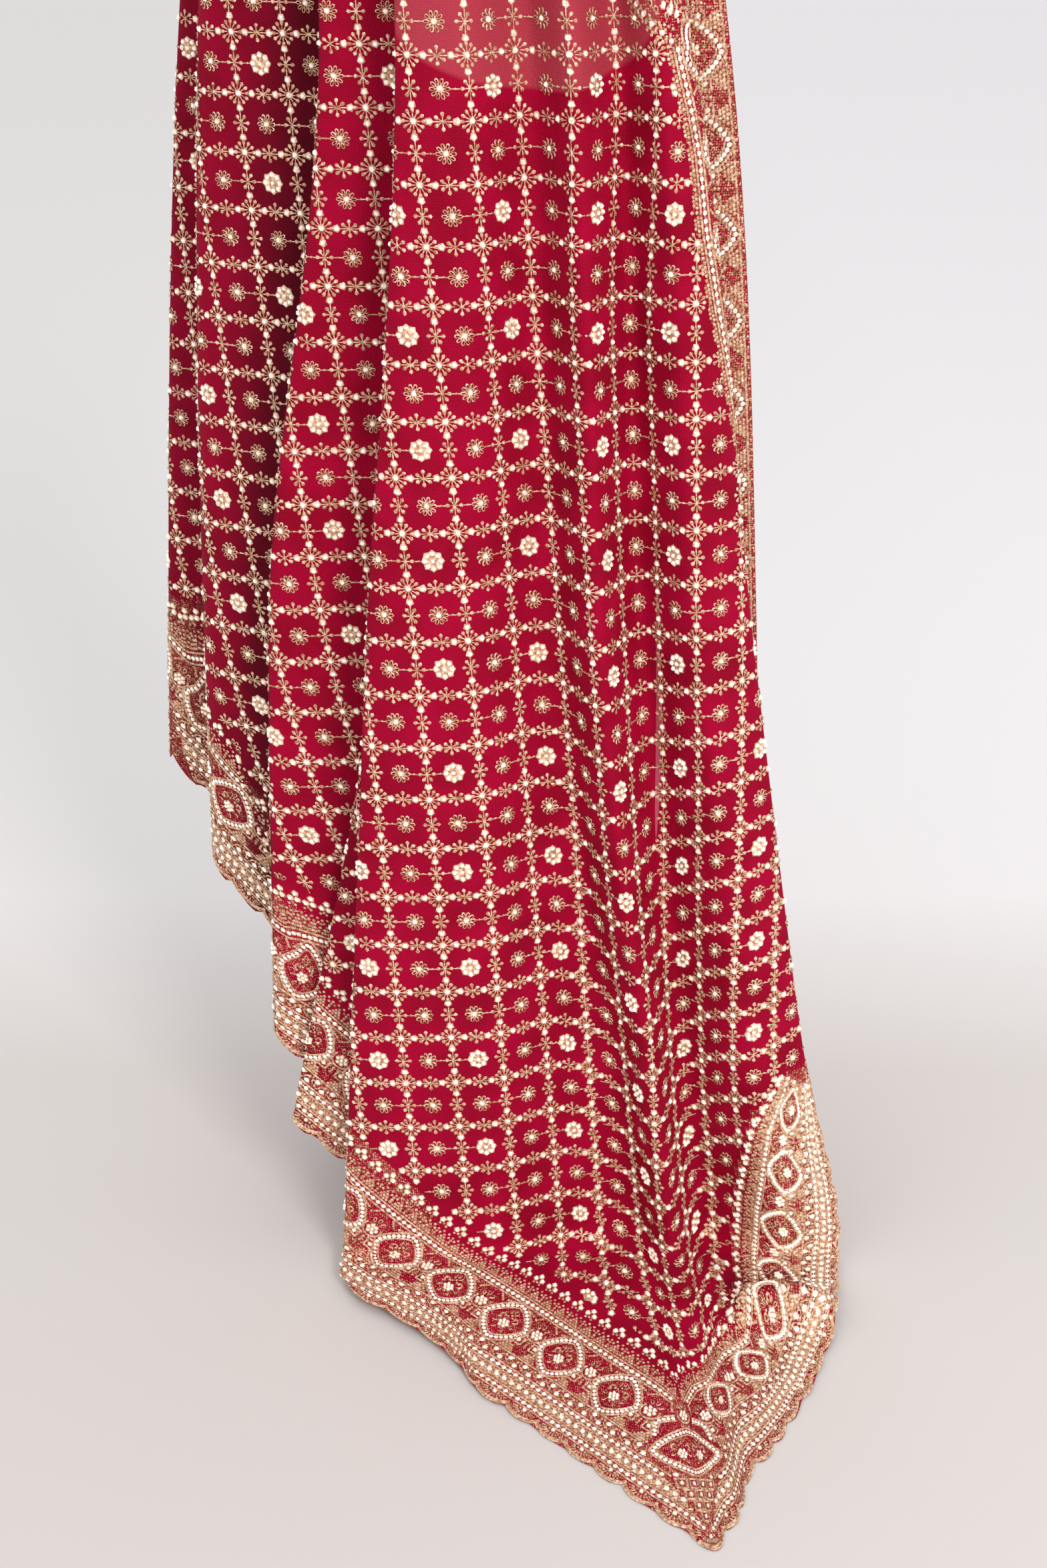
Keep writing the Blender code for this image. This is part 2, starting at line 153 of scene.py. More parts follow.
# Front pleats. The arc is the cloth's width along its pleats.
PLEATS = 6
PLEATS_ARC = 232 * MM
PLEATS_TOP_WIDTH = 96 * MM
PLEATS_HEM_WIDTH = 150 * MM
PLEAT_DEPTH = 11 * MM
PLEAT_LIFT_OFF_HEM = 20 * MM
PLEATS_TOP_HEIGHT = SKIRT_TOP_FRONT - 4 * MM
PLEATS_HEM_HEIGHT = SKIRT_HEM_HEIGHT + PLEAT_LIFT_OFF_HEM

# The pallu down the back. The arc and the length are its width and length along the cloth.
BACK_ARC = 262 * MM
BACK_LENGTH = 560 * MM
BACK_LEFT_X = -128 * MM
BACK_RIGHT_X = 104 * MM
BACK_NEAR_Y = 70 * MM
BACK_NEAR_HEIGHT = 1438 * MM
BACK_FULL_Y = 128 * MM
BACK_FULL_HEIGHT = 1330 * MM
BACK_HEM_HEIGHT = 1000 * MM
BACK_WAIST_HEIGHT = 1130 * MM
BACK_OFF_WAIST = 9 * MM
BACK_FOLD = 4 * MM
BACK_STOPS = (0, 0.16, 0.42, 0.78, 1.0)

# Mesh density
NET_LEVELS = 161
NET_POINTS_A_FOLD = 16
PALLU_ROWS = (44, 104, 12, 24)
PALLU_EDGE_ROWS = (60, 180, 12, 24)
RIM_FOLDS = np.arange(14.4, 15.1, 1 / 80)
BEND_STARTS_BY = 0.90
BEND_ENDS_BY = 0.955
SKIRT_AROUND = 176
SKIRT_ROWS = 120
PLEAT_POINTS = 16
PLEAT_ROWS = 90
BACK_NET_ROWS = 90
BACK_POINTS_A_FOLD = 10
NORMAL_REACH = 1.5 * MM

# Soft creases in the panel: a trough is negative and a ridge positive.
CREASE_COLUMNS = ("across", "top", "bottom", "half_width", "rise", "lean")
CREASES = (
    (-104, 1120, 700, 9, -2.2, 0.01),
    (-84, 760, 260, 13, 2.4, -0.02),
    (-52, 1010, 560, 16, -1.8, 0.03),
    (-18, 720, 120, 20, 2.2, -0.03),
    (12, 1090, 640, 15, 1.8, 0.02),
    (30, 560, 140, 18, -2.0, 0.04),
    (96, 1080, 520, 9, 1.6, 0.00),
    (118, 620, 150, 12, -1.6, 0.02),
    (176, 1010, 700, 10, 1.8, 0.00),
    (196, 700, 330, 11, -2.0, 0.03),
    (-190, 1060, 760, 12, 2.0, 0.02),
    (-236, 900, 540, 14, -2.4, 0.00),
    (-320, 1080, 720, 14, 2.4, 0.02),
    (-392, 1000, 560, 12, -2.2, -0.02),
    (-470, 1060, 640, 16, 2.6, 0.00),
)

# Trellis. Its small pieces grow by a share from the grain's zero line to a length of cloth below it.
TRELLIS_ACROSS = 43.5 * MM
TRELLIS_DOWN = 46 * MM
TRELLIS_SIZE_AT_TOP = 0.94
TRELLIS_SIZE_GROWS = 0.2
TRELLIS_GROWS_OVER = 1.1

# Where the thread that ties each flower starts and ends, in millimetres from the flower's middle and from the
# middle of the trellis's side
TIE_FROM_FLOWER = 7.0
TIE_FROM_SIDE = 6.6

# The skirt's flat pattern closes on a whole number of trellis columns.
SKIRT_COLUMNS_ROUND = 22
SKIRT_GIRTH = SKIRT_COLUMNS_ROUND * TRELLIS_ACROSS

# The crease over the lip of the ruck at the right of the floor, in millimetres on the flat pattern.
# The crease, the lip below it and the painted shade above it each have a half width, and the first two a
# height.
RUCK_LINE_COLUMNS = ("across", "down")
RUCK_LINE = (
    (185, 1150),
    (214, 1128),
    (255, 1117),
    (280, 1116),
    (298, 1122),
)
RUCK_LINE_FADES = 14
RUCK_LIP = 10 * MM
RUCK_LIP_BELOW = 16
RUCK_LIP_HALF = 11
RUCK_CREASE = 7 * MM
RUCK_CREASE_HALF = 6.5
# The painted shade along the ruck's crease: its strength, how far above the line it lies, and its half width
RUCK_SHADE = 0.6
RUCK_SHADE_ABOVE = 29
RUCK_SHADE_HALF = 9

# How the hang of the cloth pulls the trellis off its even grid, by its columns and rows. The right side is
# drawn in lower down and spread at the top. The middle dips, and the whole is lifted, most at the right.
DRAWN_IN = 6.2 * MM
DRAWN_IN_COLUMNS = (0.6, 8)
DRAWN_IN_ROWS = (3, 21)
SPREAD = 21 * MM
SPREAD_MIDDLE = 3.4
SPREAD_HALF = 3
SPREAD_ROWS = (0, 5)
DIP = 48 * MM
DIP_MIDDLE = 2.8
DIP_HALF = 3
LIFT_AT_RIGHT = 12.4 * MM
LIFT_COLUMNS = (4.6, 8)
HANG_ROWS = (6, 20)
LIFT = 13 * MM
LIFT_ROWS = (0, 10)

# Border
BORDER_WIDTH = 150 * MM
SCALLOP = 33.6 * MM
BORDER_UNIT = 2 * SCALLOP
SCALLOP_IN = 2 * MM
SCALLOP_OUT = 5 * MM
CORNER_LOBE = 23 * MM
CORNER_LOBE_UP = 25.5 * MM
CORNER_LOBE_HALF = 16 * MM

# The border's rows of stones and of leaves, in millimetres in from its plain edge
STONE_ROW = 23.7
LEAF_ROW = 44.6

# How much of the ground small stitches cover, from the border's edge inward, as (inset in mm, share)
STITCHED = (
    (0, 0.40),
    (9, 0.42),
    (10, 0.47),
    (53, 0.47),
    (55, 0.36),
    (104, 0.36),
    (106, 0.47),
    (118, 0.42),
    (134, 0.0),
)
STITCH_SIZE = 1.9 * MM

# The right hem's strip, in millimetres on the flat pattern: how far along from the corner, and its two edges
STRIP_COLUMNS = ("along", "outer_x", "outer_y", "inner_x", "inner_y")
STRIP = (
    (-40, 64, 1442, -44, 1338),
    (0, 92, 1413, -16, 1308),
    (155, 200, 1302, 92, 1198),
    (210, 236, 1262, 150, 1176),
    (255, 262, 1224, 186, 1158),
    (330, 294, 1155, 203, 1104),
    (378, 302, 1108, 205, 1052),
    (447, 307, 1039, 211, 998),
    (540, 304, 947, 238, 910),
    (602, 302, 884, 270, 862),
    (606, 304, 880, 303, 740),
    (679, 342, 819, 307, 690),
    (767, 381, 740, 318, 600),
    (865, 401, 644, 330, 520),
    (957, 446, 564, 352, 430),
)

# The inner edge of the border on the panel's right side, as (across, down) in millimetres on the flat pattern
PANEL_BORDER = (
    (90, -110),
    (165, -34),
    (201, -4),
    (212, 44),
    (217, 72),
    (221, 128),
    (231, 188),
    (244, 250),
    (258, 320),
    (290, 400),
    (330, 470),
)
PANEL_BORDER_ENDS = 330 * MM
PANEL_BORDER_TO = 120 * MM

# The upright border's outer part is turned under. The panel's border and the trellis each end at a fold
# number, and only the strip's first rows bound the trellis.
UPRIGHT_FROM = 47 * MM
PANEL_TO_FOLD = 15.4
BEHIND_FROM_FOLD = 15.05
STRIP_ROWS_IN_FRONT = 10

# The inset given to places on the trellis, and to those past the outer edge of the panel's border
INSET_ON_TRELLIS = 200 * MM
INSET_PAST_PANEL = 20 * MM

# Further than any cloth reaches
FAR = 9.0

# Painted shade by fold number, from 0 to 1: the cloth is painted darkest in the left folds
FOLD_SHADES = (
    (0, 0.3),
    (1.2, 0.3),
    (1.9, 0.5),
    (3.0, 0.3),
    (3.12, 0.12),
    (3.35, 0.32),
    (3.6, 0.74),
    (3.85, 0.9),
    (4.6, 0.9),
    (5.02, 0.35),
    (5.12, 0),
    (5.75, 0),
    (5.9, 0.35),
    (6.1, 0.6),
    (7.2, 0.3),
    (7.35, 0),
)

# Where light is painted showing through: one layer hanging clear above the skirt's top, and a slit beside a
# fold, on the pattern with y up
CLEAR_MIDDLE = (69 * MM, 35 * MM)
CLEAR_HALVES = (129 * MM, 62 * MM)
CLEAR_FADES_FROM = 140 * MM
CLEAR_ENDS_BY = 240 * MM
SLIT_MIDDLE = (161 * MM, -520 * MM)
SLIT_HALVES = (2.6 * MM, 125 * MM)
SLIT_LEAN = 0.0625

# Raised work: each kind's height off the cloth
FACE = 0.25 * MM
RISE = {
    "knot": 1.1 * MM,
    "bead": 1.3 * MM,
    "crystal": 1.7 * MM,
    "loop": 0.7 * MM,
    "stitch": 1.0 * MM,
    "thread": 0.45 * MM,
}
MOUNT = 1.42
THREAD_KINDS = ("knot", "loop", "stitch", "thread")
STONE_KINDS = ("bead", "crystal")

# Sizes of each finish's pattern. The crepe's pebbles, the strands and the painted glints are drawn coarser
# than the real ones, or they would not show.
DYE_PATCH = 50 * MM
CREPE_PEBBLE = 1.1 * MM
ZARI_PAINTED_GLINT = 2.4 * MM
ZARI_STRAND = 0.7 * MM
# The size of the crystals' painted bright and dark facets
CRYSTAL_PAINTED_FACET = 1.6 * MM

# Settings of the Math and Mix nodes, and a colour Mix node's sockets by number
ADD = {"operation": "ADD"}
SUBTRACT = {"operation": "SUBTRACT"}
MULTIPLY = {"operation": "MULTIPLY"}
DIVIDE = {"operation": "DIVIDE"}
MINIMUM = {"operation": "MINIMUM"}
OF_COLOURS = {"data_type": "RGBA"}
MIX_FIRST = 6
MIX_SECOND = 7
MIXED = 2

# Camera and stage
CAMERA_PLACE = (0.015, -1.82, 0.23)
CAMERA_PITCH_DOWN = 25
CAMERA_LENS = 50
FILM_LONG_SIDE = 36
FLOOR_HALF_SIZE = 16
FLOOR_SIDE_LIGHT_REACH = 0.9
BACKDROP_FROM_Y = 0.34
BACKDROP_BLEND = 0.4


def table(columns, rows):
    """The rows as a dictionary of arrays, one for each named column."""
    return {name: np.array([row[i] for row in rows]) for i, name in enumerate(columns)}


def smooth(stops, values, at, steady=False):
    """Values read from a curve through each row of values at its stop. A steady one never overshoots them."""
    stops = np.asarray(stops, float)
    values = np.asarray(values, float)
    at = np.asarray(at, float)
    steps = np.diff(stops)
    slopes = np.diff(values, axis=0) / steps[:, None]
    tangents = np.empty_like(values)
    tangents[0] = slopes[0]
    tangents[-1] = slopes[-1]
    before = steps[:-1, None]
    after = steps[1:, None]
    if steady:
        product = slopes[:-1] * slopes[1:]
        total = slopes[:-1] + slopes[1:]
        tangents[1:-1] = np.where(product > 0, 2 * product / np.where(total == 0, 1, total), 0)
    else:
        tangents[1:-1] = (slopes[:-1] * after + slopes[1:] * before) / (before + after)
    i = np.clip(np.searchsorted(stops, at, side="right") - 1, 0, len(steps) - 1)
    step = steps[i][:, None]
    u = ((at - stops[i]) / steps[i])[:, None]
    beyond = at > stops[-1]
    curve = (
        (1 + 2 * u) * (1 - u) ** 2 * values[i]
        + u * (1 - u) ** 2 * step * tangents[i]
        + u**2 * (3 - 2 * u) * values[i + 1]
        + u**2 * (u - 1) * step * tangents[i + 1]
    )
    straight = values[-1] + (at - stops[-1])[:, None] * tangents[-1]
    return np.where(beyond[:, None], straight, curve)


def down(height):
    """Cloth measured down from the grain's zero line to a height above the floor."""
    return GRAIN_ZERO_HEIGHT - height


def between(grid, row, column):
    """A regular grid's values between its points, at fractional rows and columns."""
    row = np.clip(row, 0, grid.shape[0] - 1)
    column = np.clip(column, 0, grid.shape[1] - 1)
    r = np.minimum(row.astype(int), grid.shape[0] - 2)
    c = np.minimum(column.astype(int), grid.shape[1] - 2)
    v = row - r
    u = column - c
    if grid.ndim == 3:
        u = u[..., None]
        v = v[..., None]
    upper = grid[r, c] * (1 - u) + grid[r, c + 1] * u
    lower = grid[r + 1, c] * (1 - u) + grid[r + 1, c + 1] * u
    return upper * (1 - v) + lower * v


def fold_levels():
    """(downs, points): the fold lines' points at each named level, from the shoulder's crest to the shin."""
    folds = table(FOLD_COLUMNS, FOLDS)
    out = folds["out"].astype(float)
    share = np.linspace(0, 1, len(out))
    hip = np.stack([folds["hip_x"] * MM, folds["hip_y"] * MM], axis=1)
    knee = np.stack([folds["knee_x"] * MM, folds["knee_y"] * MM], axis=1)
    shin = np.stack([folds["shin_x"] * MM, folds["shin_y"] * MM], axis=1)
    crest_x = SHOULDER_OUTER_X + share * (SHOULDER_INNER_X - SHOULDER_OUTER_X)

    def level(x, y, height):
        return np.stack([x, y, np.broadcast_to(height, x.shape)], axis=1)

    chest_x = hip[:, 0] + CHEST_TO_SHOULDER * (crest_x - hip[:, 0])
    collar_x = hip[:, 0] + COLLAR_TO_SHOULDER * (crest_x - hip[:, 0])
    collar_y = COLLAR_FORWARD * np.minimum(hip[:, 1], COLLAR_REAR_Y)
    chest_y = np.where(hip[:, 1] < 0, CHEST_FORWARD, REAR_CHEST_SHARE) * hip[:, 1]
    points = [
        level(crest_x, np.zeros_like(crest_x), CREST_HEIGHT + CREST_FOLD * out),
        level(collar_x, collar_y - 0.7 * CREST_FOLD * out, COLLAR_HEIGHT + 0.7 * CREST_FOLD * out),
        level(chest_x, chest_y - CHEST_FOLD * out, CHEST_HEIGHT),
        level(hip[:, 0], hip[:, 1], HIP_HEIGHT),
        level(knee[:, 0], knee[:, 1], KNEE_HEIGHT),
        level(shin[:, 0], shin[:, 1], SHIN_HEIGHT),
    ]
    shoulder_reach = abs(COLLAR_FORWARD * min(hip[:, 1]))
    crest_down = down(COLLAR_HEIGHT) - math.hypot(shoulder_reach, CREST_HEIGHT - COLLAR_HEIGHT)
    heights = (COLLAR_HEIGHT, CHEST_HEIGHT, HIP_HEIGHT, KNEE_HEIGHT, SHIN_HEIGHT)
    return np.array([crest_down] + [down(h) for h in heights]), points


class Pallu:
    """The pallu's cloth, read either by fold and down, or by across and down on the flat pattern."""

    def __init__(self):
        level_downs, level_points = fold_levels()
        self.crest = level_downs[0]
        self.downs = np.linspace(self.crest, down(0), NET_LEVELS)
        self.folds = np.linspace(0, LAST_FOLD, LAST_FOLD * NET_POINTS_A_FOLD + 1)
        stacked = np.stack(level_points).reshape(len(level_points), -1)
        lines = smooth(level_downs, stacked, self.downs, steady=True).reshape(NET_LEVELS, -1, 3)
        self.net = np.stack([self.level_curve(line) for line in lines])
        self.across = self.measure_across()
        self.least_across = self.across.min()
        self.across_step = 2 * MM
        even = np.arange(self.least_across, self.across.max(), self.across_step)
        self.fold_at = np.stack([np.interp(even, row, self.folds) for row in self.across])
        self.fine_folds = np.linspace(0, LAST_FOLD, LAST_FOLD * 40 + 1)
        self.fine_hem = self.hem(self.fine_folds)

    def level_curve(self, line):
        """One level's points, on a curve through the fold lines with even chord weights."""
        chords = np.concatenate([[0], np.cumsum(np.linalg.norm(np.diff(line, axis=0), axis=1))])
        at = np.interp(self.folds, np.arange(len(line)), chords)
        return smooth(chords, line, at)

    def measure_across(self):
        """Cloth measured across from the thread line, at each point of the net."""
        steps = np.linalg.norm(np.diff(self.net, axis=1), axis=2)
        arcs = np.concatenate([np.zeros((NET_LEVELS, 1)), np.cumsum(steps, axis=1)], axis=1)
        grain_x = GRAIN_X_AT_ZERO + GRAIN_LEAN * self.downs
        near = (self.folds > 9) & (self.folds < 11)
        hip_row = int(np.searchsorted(self.downs, down(HIP_HEIGHT)))
        across = np.empty_like(arcs)
        for row in range(hip_row, NET_LEVELS):
            zero = np.interp(grain_x[row], self.net[row, near, 0], arcs[row, near])
            across[row] = arcs[row] - zero
        across[:hip_row] = across[hip_row]
        return across

    def row_of(self, at_down):
        """The net's row, whole or part, at each place down the cloth."""
        return (at_down - self.crest) / (self.downs[-1] - self.crest) * (NET_LEVELS - 1)

    def read(self, values, fold, at_down):
        """The net's values by fold and down."""
        return between(values, self.row_of(at_down), fold * NET_POINTS_A_FOLD)

    def fold_of(self, across, at_down):
        """The fold position of a place on the flat pattern."""
        return between(self.fold_at, self.row_of(at_down), (across - self.least_across) / self.across_step)

    def hem(self, fold):
        """How far down the hem lies on each fold line."""
        found = np.full(fold.shape, down(SHIN_HEIGHT))
        for _ in range(12):
            across = self.read(self.across, fold, found)
            target = CORNER_DOWN - HEM_SLOPE * np.abs(across - CORNER_ACROSS)
            found = 0.5 * (found + target)
        lifts = table(HEM_LIFT_COLUMNS, HEM_LIFTS)
        found = found - smooth(lifts["fold"], lifts["lift"][:, None] * MM, fold, steady=True)[:, 0]
        rear = np.clip(1 - fold, 0, 1)
        found = found + rear * (down(REAR_HEM_HEIGHT) - found)
        border = np.clip(fold - HEM_CLIMBS_FROM, 0, 1)
        return found + border * (down(BORDER_CORNER_HEIGHT) - found)

    def place(self, fold, at_down):
        """Points in space, metres above the floor. Past the floor's bend the cloth lies toward the viewer."""
        bend_starts = down(FLOOR_BEND)
        angle = np.clip((at_down - bend_starts) / FLOOR_BEND, 0, math.pi / 2)
        along = np.maximum(at_down - bend_starts - FLOOR_BEND * math.pi / 2, 0)
        height = FLOOR_BEND * (1 - np.sin(angle))
        hanging = np.minimum(at_down, down(0))
        net_down = np.where(at_down > bend_starts, down(height), hanging)
        points = self.read(self.net, fold, net_down)
        lobe = FLOOR_LOBE * np.maximum(VALLEY_Y - points[..., 1], 0) * np.exp(-along / FLOOR_LOBE_FADE)
        evened = 1 - np.exp(-along / FLOOR_EVENS_OUT)
        points[..., 1] += evened * (FLOOR_FRONT_Y - points[..., 1])
        points[..., 1] -= FLOOR_BEND * (1 - np.cos(angle)) + along
        tuck = LEFT_TUCK * np.clip((LEFT_TUCK_FROM_X - points[..., 0]) / LEFT_TUCK_WIDTH, 0, 1)
        points[..., 0] += (FLOOR_LEAN + tuck) * along
        flare = RIM_FLARE * np.exp(-(((at_down - RIM_FLARE_DOWN) / RIM_FLARE_HALF) ** 2))
        points[..., 0] += flare * np.clip((points[..., 0] - RIM_FLARE_FROM_X) / RIM_FLARE_WIDTH, 0, 1)
        lying = np.sin(angle) ** 2
        off_x = (points[..., 0] - RUCK_X) / RUCK_HALF_WIDTH
        off_y = (points[..., 1] - RUCK_Y) / RUCK_HALF_DEPTH
        ruck = RUCK_HEIGHT * np.exp(-(off_x**2) - off_y**2)
        points[..., 2] += lying * (lobe * np.clip(1 - along / (2 * FLOOR_LOBE_FADE), 0, 1) + ruck)
        points[..., 2] = np.maximum(points[..., 2], WALL / 2)
        return points

    def on_pattern(self, across, at_down):
        return self.place(self.fold_of(across, at_down), at_down)

    def crease(self, across, at_down):
        """How far the soft creases lift the cloth off its main form."""
        rows = table(CREASE_COLUMNS, CREASES)
        lift = np.zeros(np.shape(across))
        for i in range(len(CREASES)):
            top = down(rows["top"][i] * MM)
            bottom = down(rows["bottom"][i] * MM)
            share = np.clip((at_down - top) / (bottom - top), 0, 1)
            line = rows["across"][i] * MM + rows["lean"][i] * (at_down - top)
            bell = np.exp(-(((across - line) / (rows["half_width"][i] * MM)) ** 2))
            lift += rows["rise"][i] * MM * bell * np.sin(math.pi * share) ** 2
        return lift + self.ruck_lip(across / MM, at_down / MM)

    def below_ruck(self, across, at_down):
        """How many millimetres places lie below the ruck's line, and its strength there, from 0 to 1."""
        line = table(RUCK_LINE_COLUMNS, RUCK_LINE)
        starts = np.clip((across - line["across"][0]) / RUCK_LINE_FADES, 0, 1)
        ends = np.clip((line["across"][-1] - across) / RUCK_LINE_FADES, 0, 1)
        return at_down - np.interp(across, line["across"], line["down"]), starts * ends

    def ruck_lip(self, across, at_down):
        """How far the lip lifts the cloth and the crease over it sinks it, at places in millimetres."""
        below, strength = self.below_ruck(across, at_down)
        lip = RUCK_LIP * np.exp(-(((below - RUCK_LIP_BELOW) / RUCK_LIP_HALF) ** 2))
        crease = RUCK_CREASE * np.exp(-((below / RUCK_CREASE_HALF) ** 2))
        return strength * (lip - crease)

    def shade(self, folds, across, at_down):
        """The painted shade on the cloth, from 0 to 1: deep in the left folds, and in the crease over the
        ruck.
        """
        below, strength = self.below_ruck(across / MM, at_down / MM)
        ruck = RUCK_SHADE * strength * np.exp(-(((below + RUCK_SHADE_ABOVE) / RUCK_SHADE_HALF) ** 2))
        return np.maximum(np.interp(folds, *np.array(FOLD_SHADES).T), ruck)

    def scalloped_hem(self, fold):
        """The hem with its scalloped edge, down each fold line."""
        plain = self.hem(fold)
        tilt = math.sqrt(1 + HEM_SLOPE**2)
        found = plain.copy()
        for _ in range(6):
            across = self.read(self.across, fold, found)
            along = np.abs(across - CORNER_ACROSS) * tilt
            found = plain + scallop(along) * tilt
        lobe = CORNER_LOBE**2 - (across - CORNER_ACROSS) ** 2
        corner = CORNER_DOWN - CORNER_LOBE_UP + np.sqrt(np.maximum(lobe, 0))
        return np.where(np.abs(across - CORNER_ACROSS) < CORNER_LOBE_HALF, corner, found)


def scallop(along):
    """How far the scalloped edge stands out past the plain hem, measured along the hem from its corner."""
    wave = np.abs(np.sin(math.pi * along / SCALLOP))
    return (SCALLOP_IN + SCALLOP_OUT) * wave**0.7 - SCALLOP_IN


def skirt_half_sizes(height):
    """Half width and half depth of the skirt at each height."""
    sizes = table(SKIRT_COLUMNS, SKIRT[::-1])
    halves = np.stack([sizes["half_width"], sizes["half_depth"]], axis=1) * MM
    read = smooth(sizes["height"] * MM, halves, np.ravel(height)).T
    return read[0].reshape(np.shape(height)), read[1].reshape(np.shape(height))


def skirt_point(angle, height, outward):
    """A point on the skirt, moved outward. Angle 0 is the front and a quarter turn is the viewer's right."""
    half_width, half_depth = skirt_half_sizes(height)
    x = half_width * np.sin(angle)
    y = -half_depth * np.cos(angle)
    normal = np.stack([x / half_width**2, y / half_depth**2], axis=-1)
    normal /= np.linalg.norm(normal, axis=-1, keepdims=True)
    return np.stack([x + outward * normal[..., 0], y + outward * normal[..., 1], height + 0 * x], -1)


def skirt_top(angle):
    """The height of the skirt's top edge: a low curve in front that climbs steeply at the sides."""
    side = np.sin(angle) ** 2
    front = SKIRT_TOP_FRONT + (SKIRT_TOP_SIDE - SKIRT_TOP_FRONT) * side**2
    back = SKIRT_TOP_BACK + (SKIRT_TOP_SIDE - SKIRT_TOP_BACK) * side**2
    return np.where(np.cos(angle) > 0, front, back)


def skirt_place(across, at_down):
    """The skirt by its flat pattern."""
    return skirt_point(2 * math.pi * across / SKIRT_GIRTH, GRAIN_ZERO_HEIGHT - at_down, 0.0)


def pleats_place(across, at_down):
    """The front pleats by their flat pattern, centred on the skirt's front."""
    share = np.clip(across / PLEATS_ARC, -0.5, 0.5)
    fall = PLEATS_HEM_HEIGHT - PLEATS_TOP_HEIGHT
    part = (GRAIN_ZERO_HEIGHT - at_down - PLEATS_TOP_HEIGHT) / fall
    height = PLEATS_TOP_HEIGHT + part * fall
    turn = 2 * math.pi * PLEATS * (share + 0.5)
    half_width, _ = skirt_half_sizes(height)
    width = PLEATS_TOP_WIDTH + part * (PLEATS_HEM_WIDTH - PLEATS_TOP_WIDTH)
    angle = np.arcsin((share + 0.12 * np.sin(turn) / PLEATS) * width / half_width)
    slack = LAY_SLACK * np.minimum(1.0, 3 * np.maximum(part, 0))
    wave = 0.5 - 0.5 * np.cos(turn)
    return skirt_point(angle, height, WALL + LAY_GAP + slack + PLEAT_DEPTH * wave * (0.55 + 0.45 * part))


def back_net(pallu):
    """The pallu down the back as a net from the shoulder's crest to its hem under the waist."""
    fold = np.linspace(0, LAST_FOLD, LAST_FOLD * BACK_POINTS_A_FOLD + 1)
    crest = pallu.place(fold, np.full(fold.shape, pallu.crest))
    share = fold / LAST_FOLD
    out = np.cos(math.pi * (fold + 1))
    low_x = BACK_LEFT_X + share * (BACK_RIGHT_X - BACK_LEFT_X)
    hem_height = np.full(fold.shape, BACK_HEM_HEIGHT)
    half_width, _ = skirt_half_sizes(hem_height)
    lift = WALL + LAY_GAP + 0.5 * BACK_FOLD * (1 + out)
    low = skirt_point(math.pi - np.arcsin(low_x / half_width), hem_height, lift)
    near_x = 0.9 * crest[:, 0] + 0.1 * low_x
    full_x = 0.6 * crest[:, 0] + 0.4 * low_x
    levels = [
        crest + (0, CREST_GAP / 2, 0),
        np.stack([near_x, np.full(fold.shape, BACK_NEAR_Y), BACK_NEAR_HEIGHT + 0.6 * CREST_FOLD * out], 1),
        np.stack([full_x, BACK_FULL_Y + BACK_FOLD * out, np.full(fold.shape, BACK_FULL_HEIGHT)], 1),
        low + (0, BACK_OFF_WAIST, BACK_WAIST_HEIGHT - BACK_HEM_HEIGHT),
        low,
    ]
    stacked = np.stack(levels).reshape(len(levels), -1)
    rows = smooth(BACK_STOPS, stacked, np.linspace(0, 1, BACK_NET_ROWS))
    return rows.reshape(BACK_NET_ROWS, len(fold), 3)


def on_face(place, across, at_down, height):
    """Points at a height above the cloth's outer face."""
    across = np.asarray(across, float)
    at_down = np.asarray(at_down, float)
    sideways = place(across + NORMAL_REACH, at_down) - place(across - NORMAL_REACH, at_down)
    downward = place(across, at_down + NORMAL_REACH) - place(across, at_down - NORMAL_REACH)
    normal = np.cross(downward, sideways)
    normal /= np.maximum(np.linalg.norm(normal, axis=-1, keepdims=True), 1e-12)
    return place(across, at_down) + normal * np.asarray(height)[..., None]


# Small pieces of the work in their own units: points (along, across, rise) and faces.
def round_piece(sides, table_share):
    """A low cone, or one with a flat table as a cut crystal has."""
    turn = 2 * math.pi * np.arange(sides) / sides
    ring = np.stack([0.5 * np.cos(turn), 0.5 * np.sin(turn), 0 * turn], 1)
    if not table_share:
        points = np.vstack([ring, [[0, 0, 1]]])
        faces = [((i + 1) % sides, i, sides) for i in range(sides)]
        return points, np.array(faces)
    top = ring * (table_share, table_share, 1) + (0, 0, 1)
    points = np.vstack([ring, top])
    faces = []
    for i in range(sides):
        after = (i + 1) % sides
        faces.append((after, i, sides + i))
        faces.append((after, sides + i, sides + after))
        if 0 < i < sides - 1:
            faces.append((sides, sides + after, sides + i))
    return points, np.array(faces)


def loop_piece():
    """A petal outlined in thread: a flat ring with a pointed root and a round tip."""
    outline = ((-0.5, 0), (-0.1, 0.42), (0.32, 0.42), (0.5, 0), (0.32, -0.42), (-0.1, -0.42))
    outer = np.array([(x, y, 0.3) for x, y in outline])
    inner = outer * (0.62, 0.5, 1) + (0.03, 0, 0.7)
    faces = []
    for i in range(6):
        after = (i + 1) % 6
        faces.append((after, i, 6 + i))
        faces.append((after, 6 + i, 6 + after))
    return np.vstack([outer, inner]), np.array(faces)


def roof_piece():
    """A stitch: two slopes that meet in a ridge along it."""
    points = [(x, y, z) for x in (-0.5, 0.5) for y, z in ((-0.5, 0), (0, 1), (0.5, 0))]
    return np.array(points, float), np.array([(0, 1, 4), (0, 4, 3), (1, 2, 5), (1, 5, 4)])


def flat_piece():
    """A laid thread: a flat strip just off the cloth."""
    points = [(-0.5, -0.5, 1), (0.5, -0.5, 1), (0.5, 0.5, 1), (-0.5, 0.5, 1)]
    return np.array(points, float), np.array([(0, 2, 1), (0, 3, 2)])


PIECES = {
    "knot": round_piece(5, 0),
    "bead": round_piece(6, 0),
    "crystal": round_piece(6, 0.55),
    "loop": loop_piece(),
    "stitch": roof_piece(),
    "thread": flat_piece(),
}


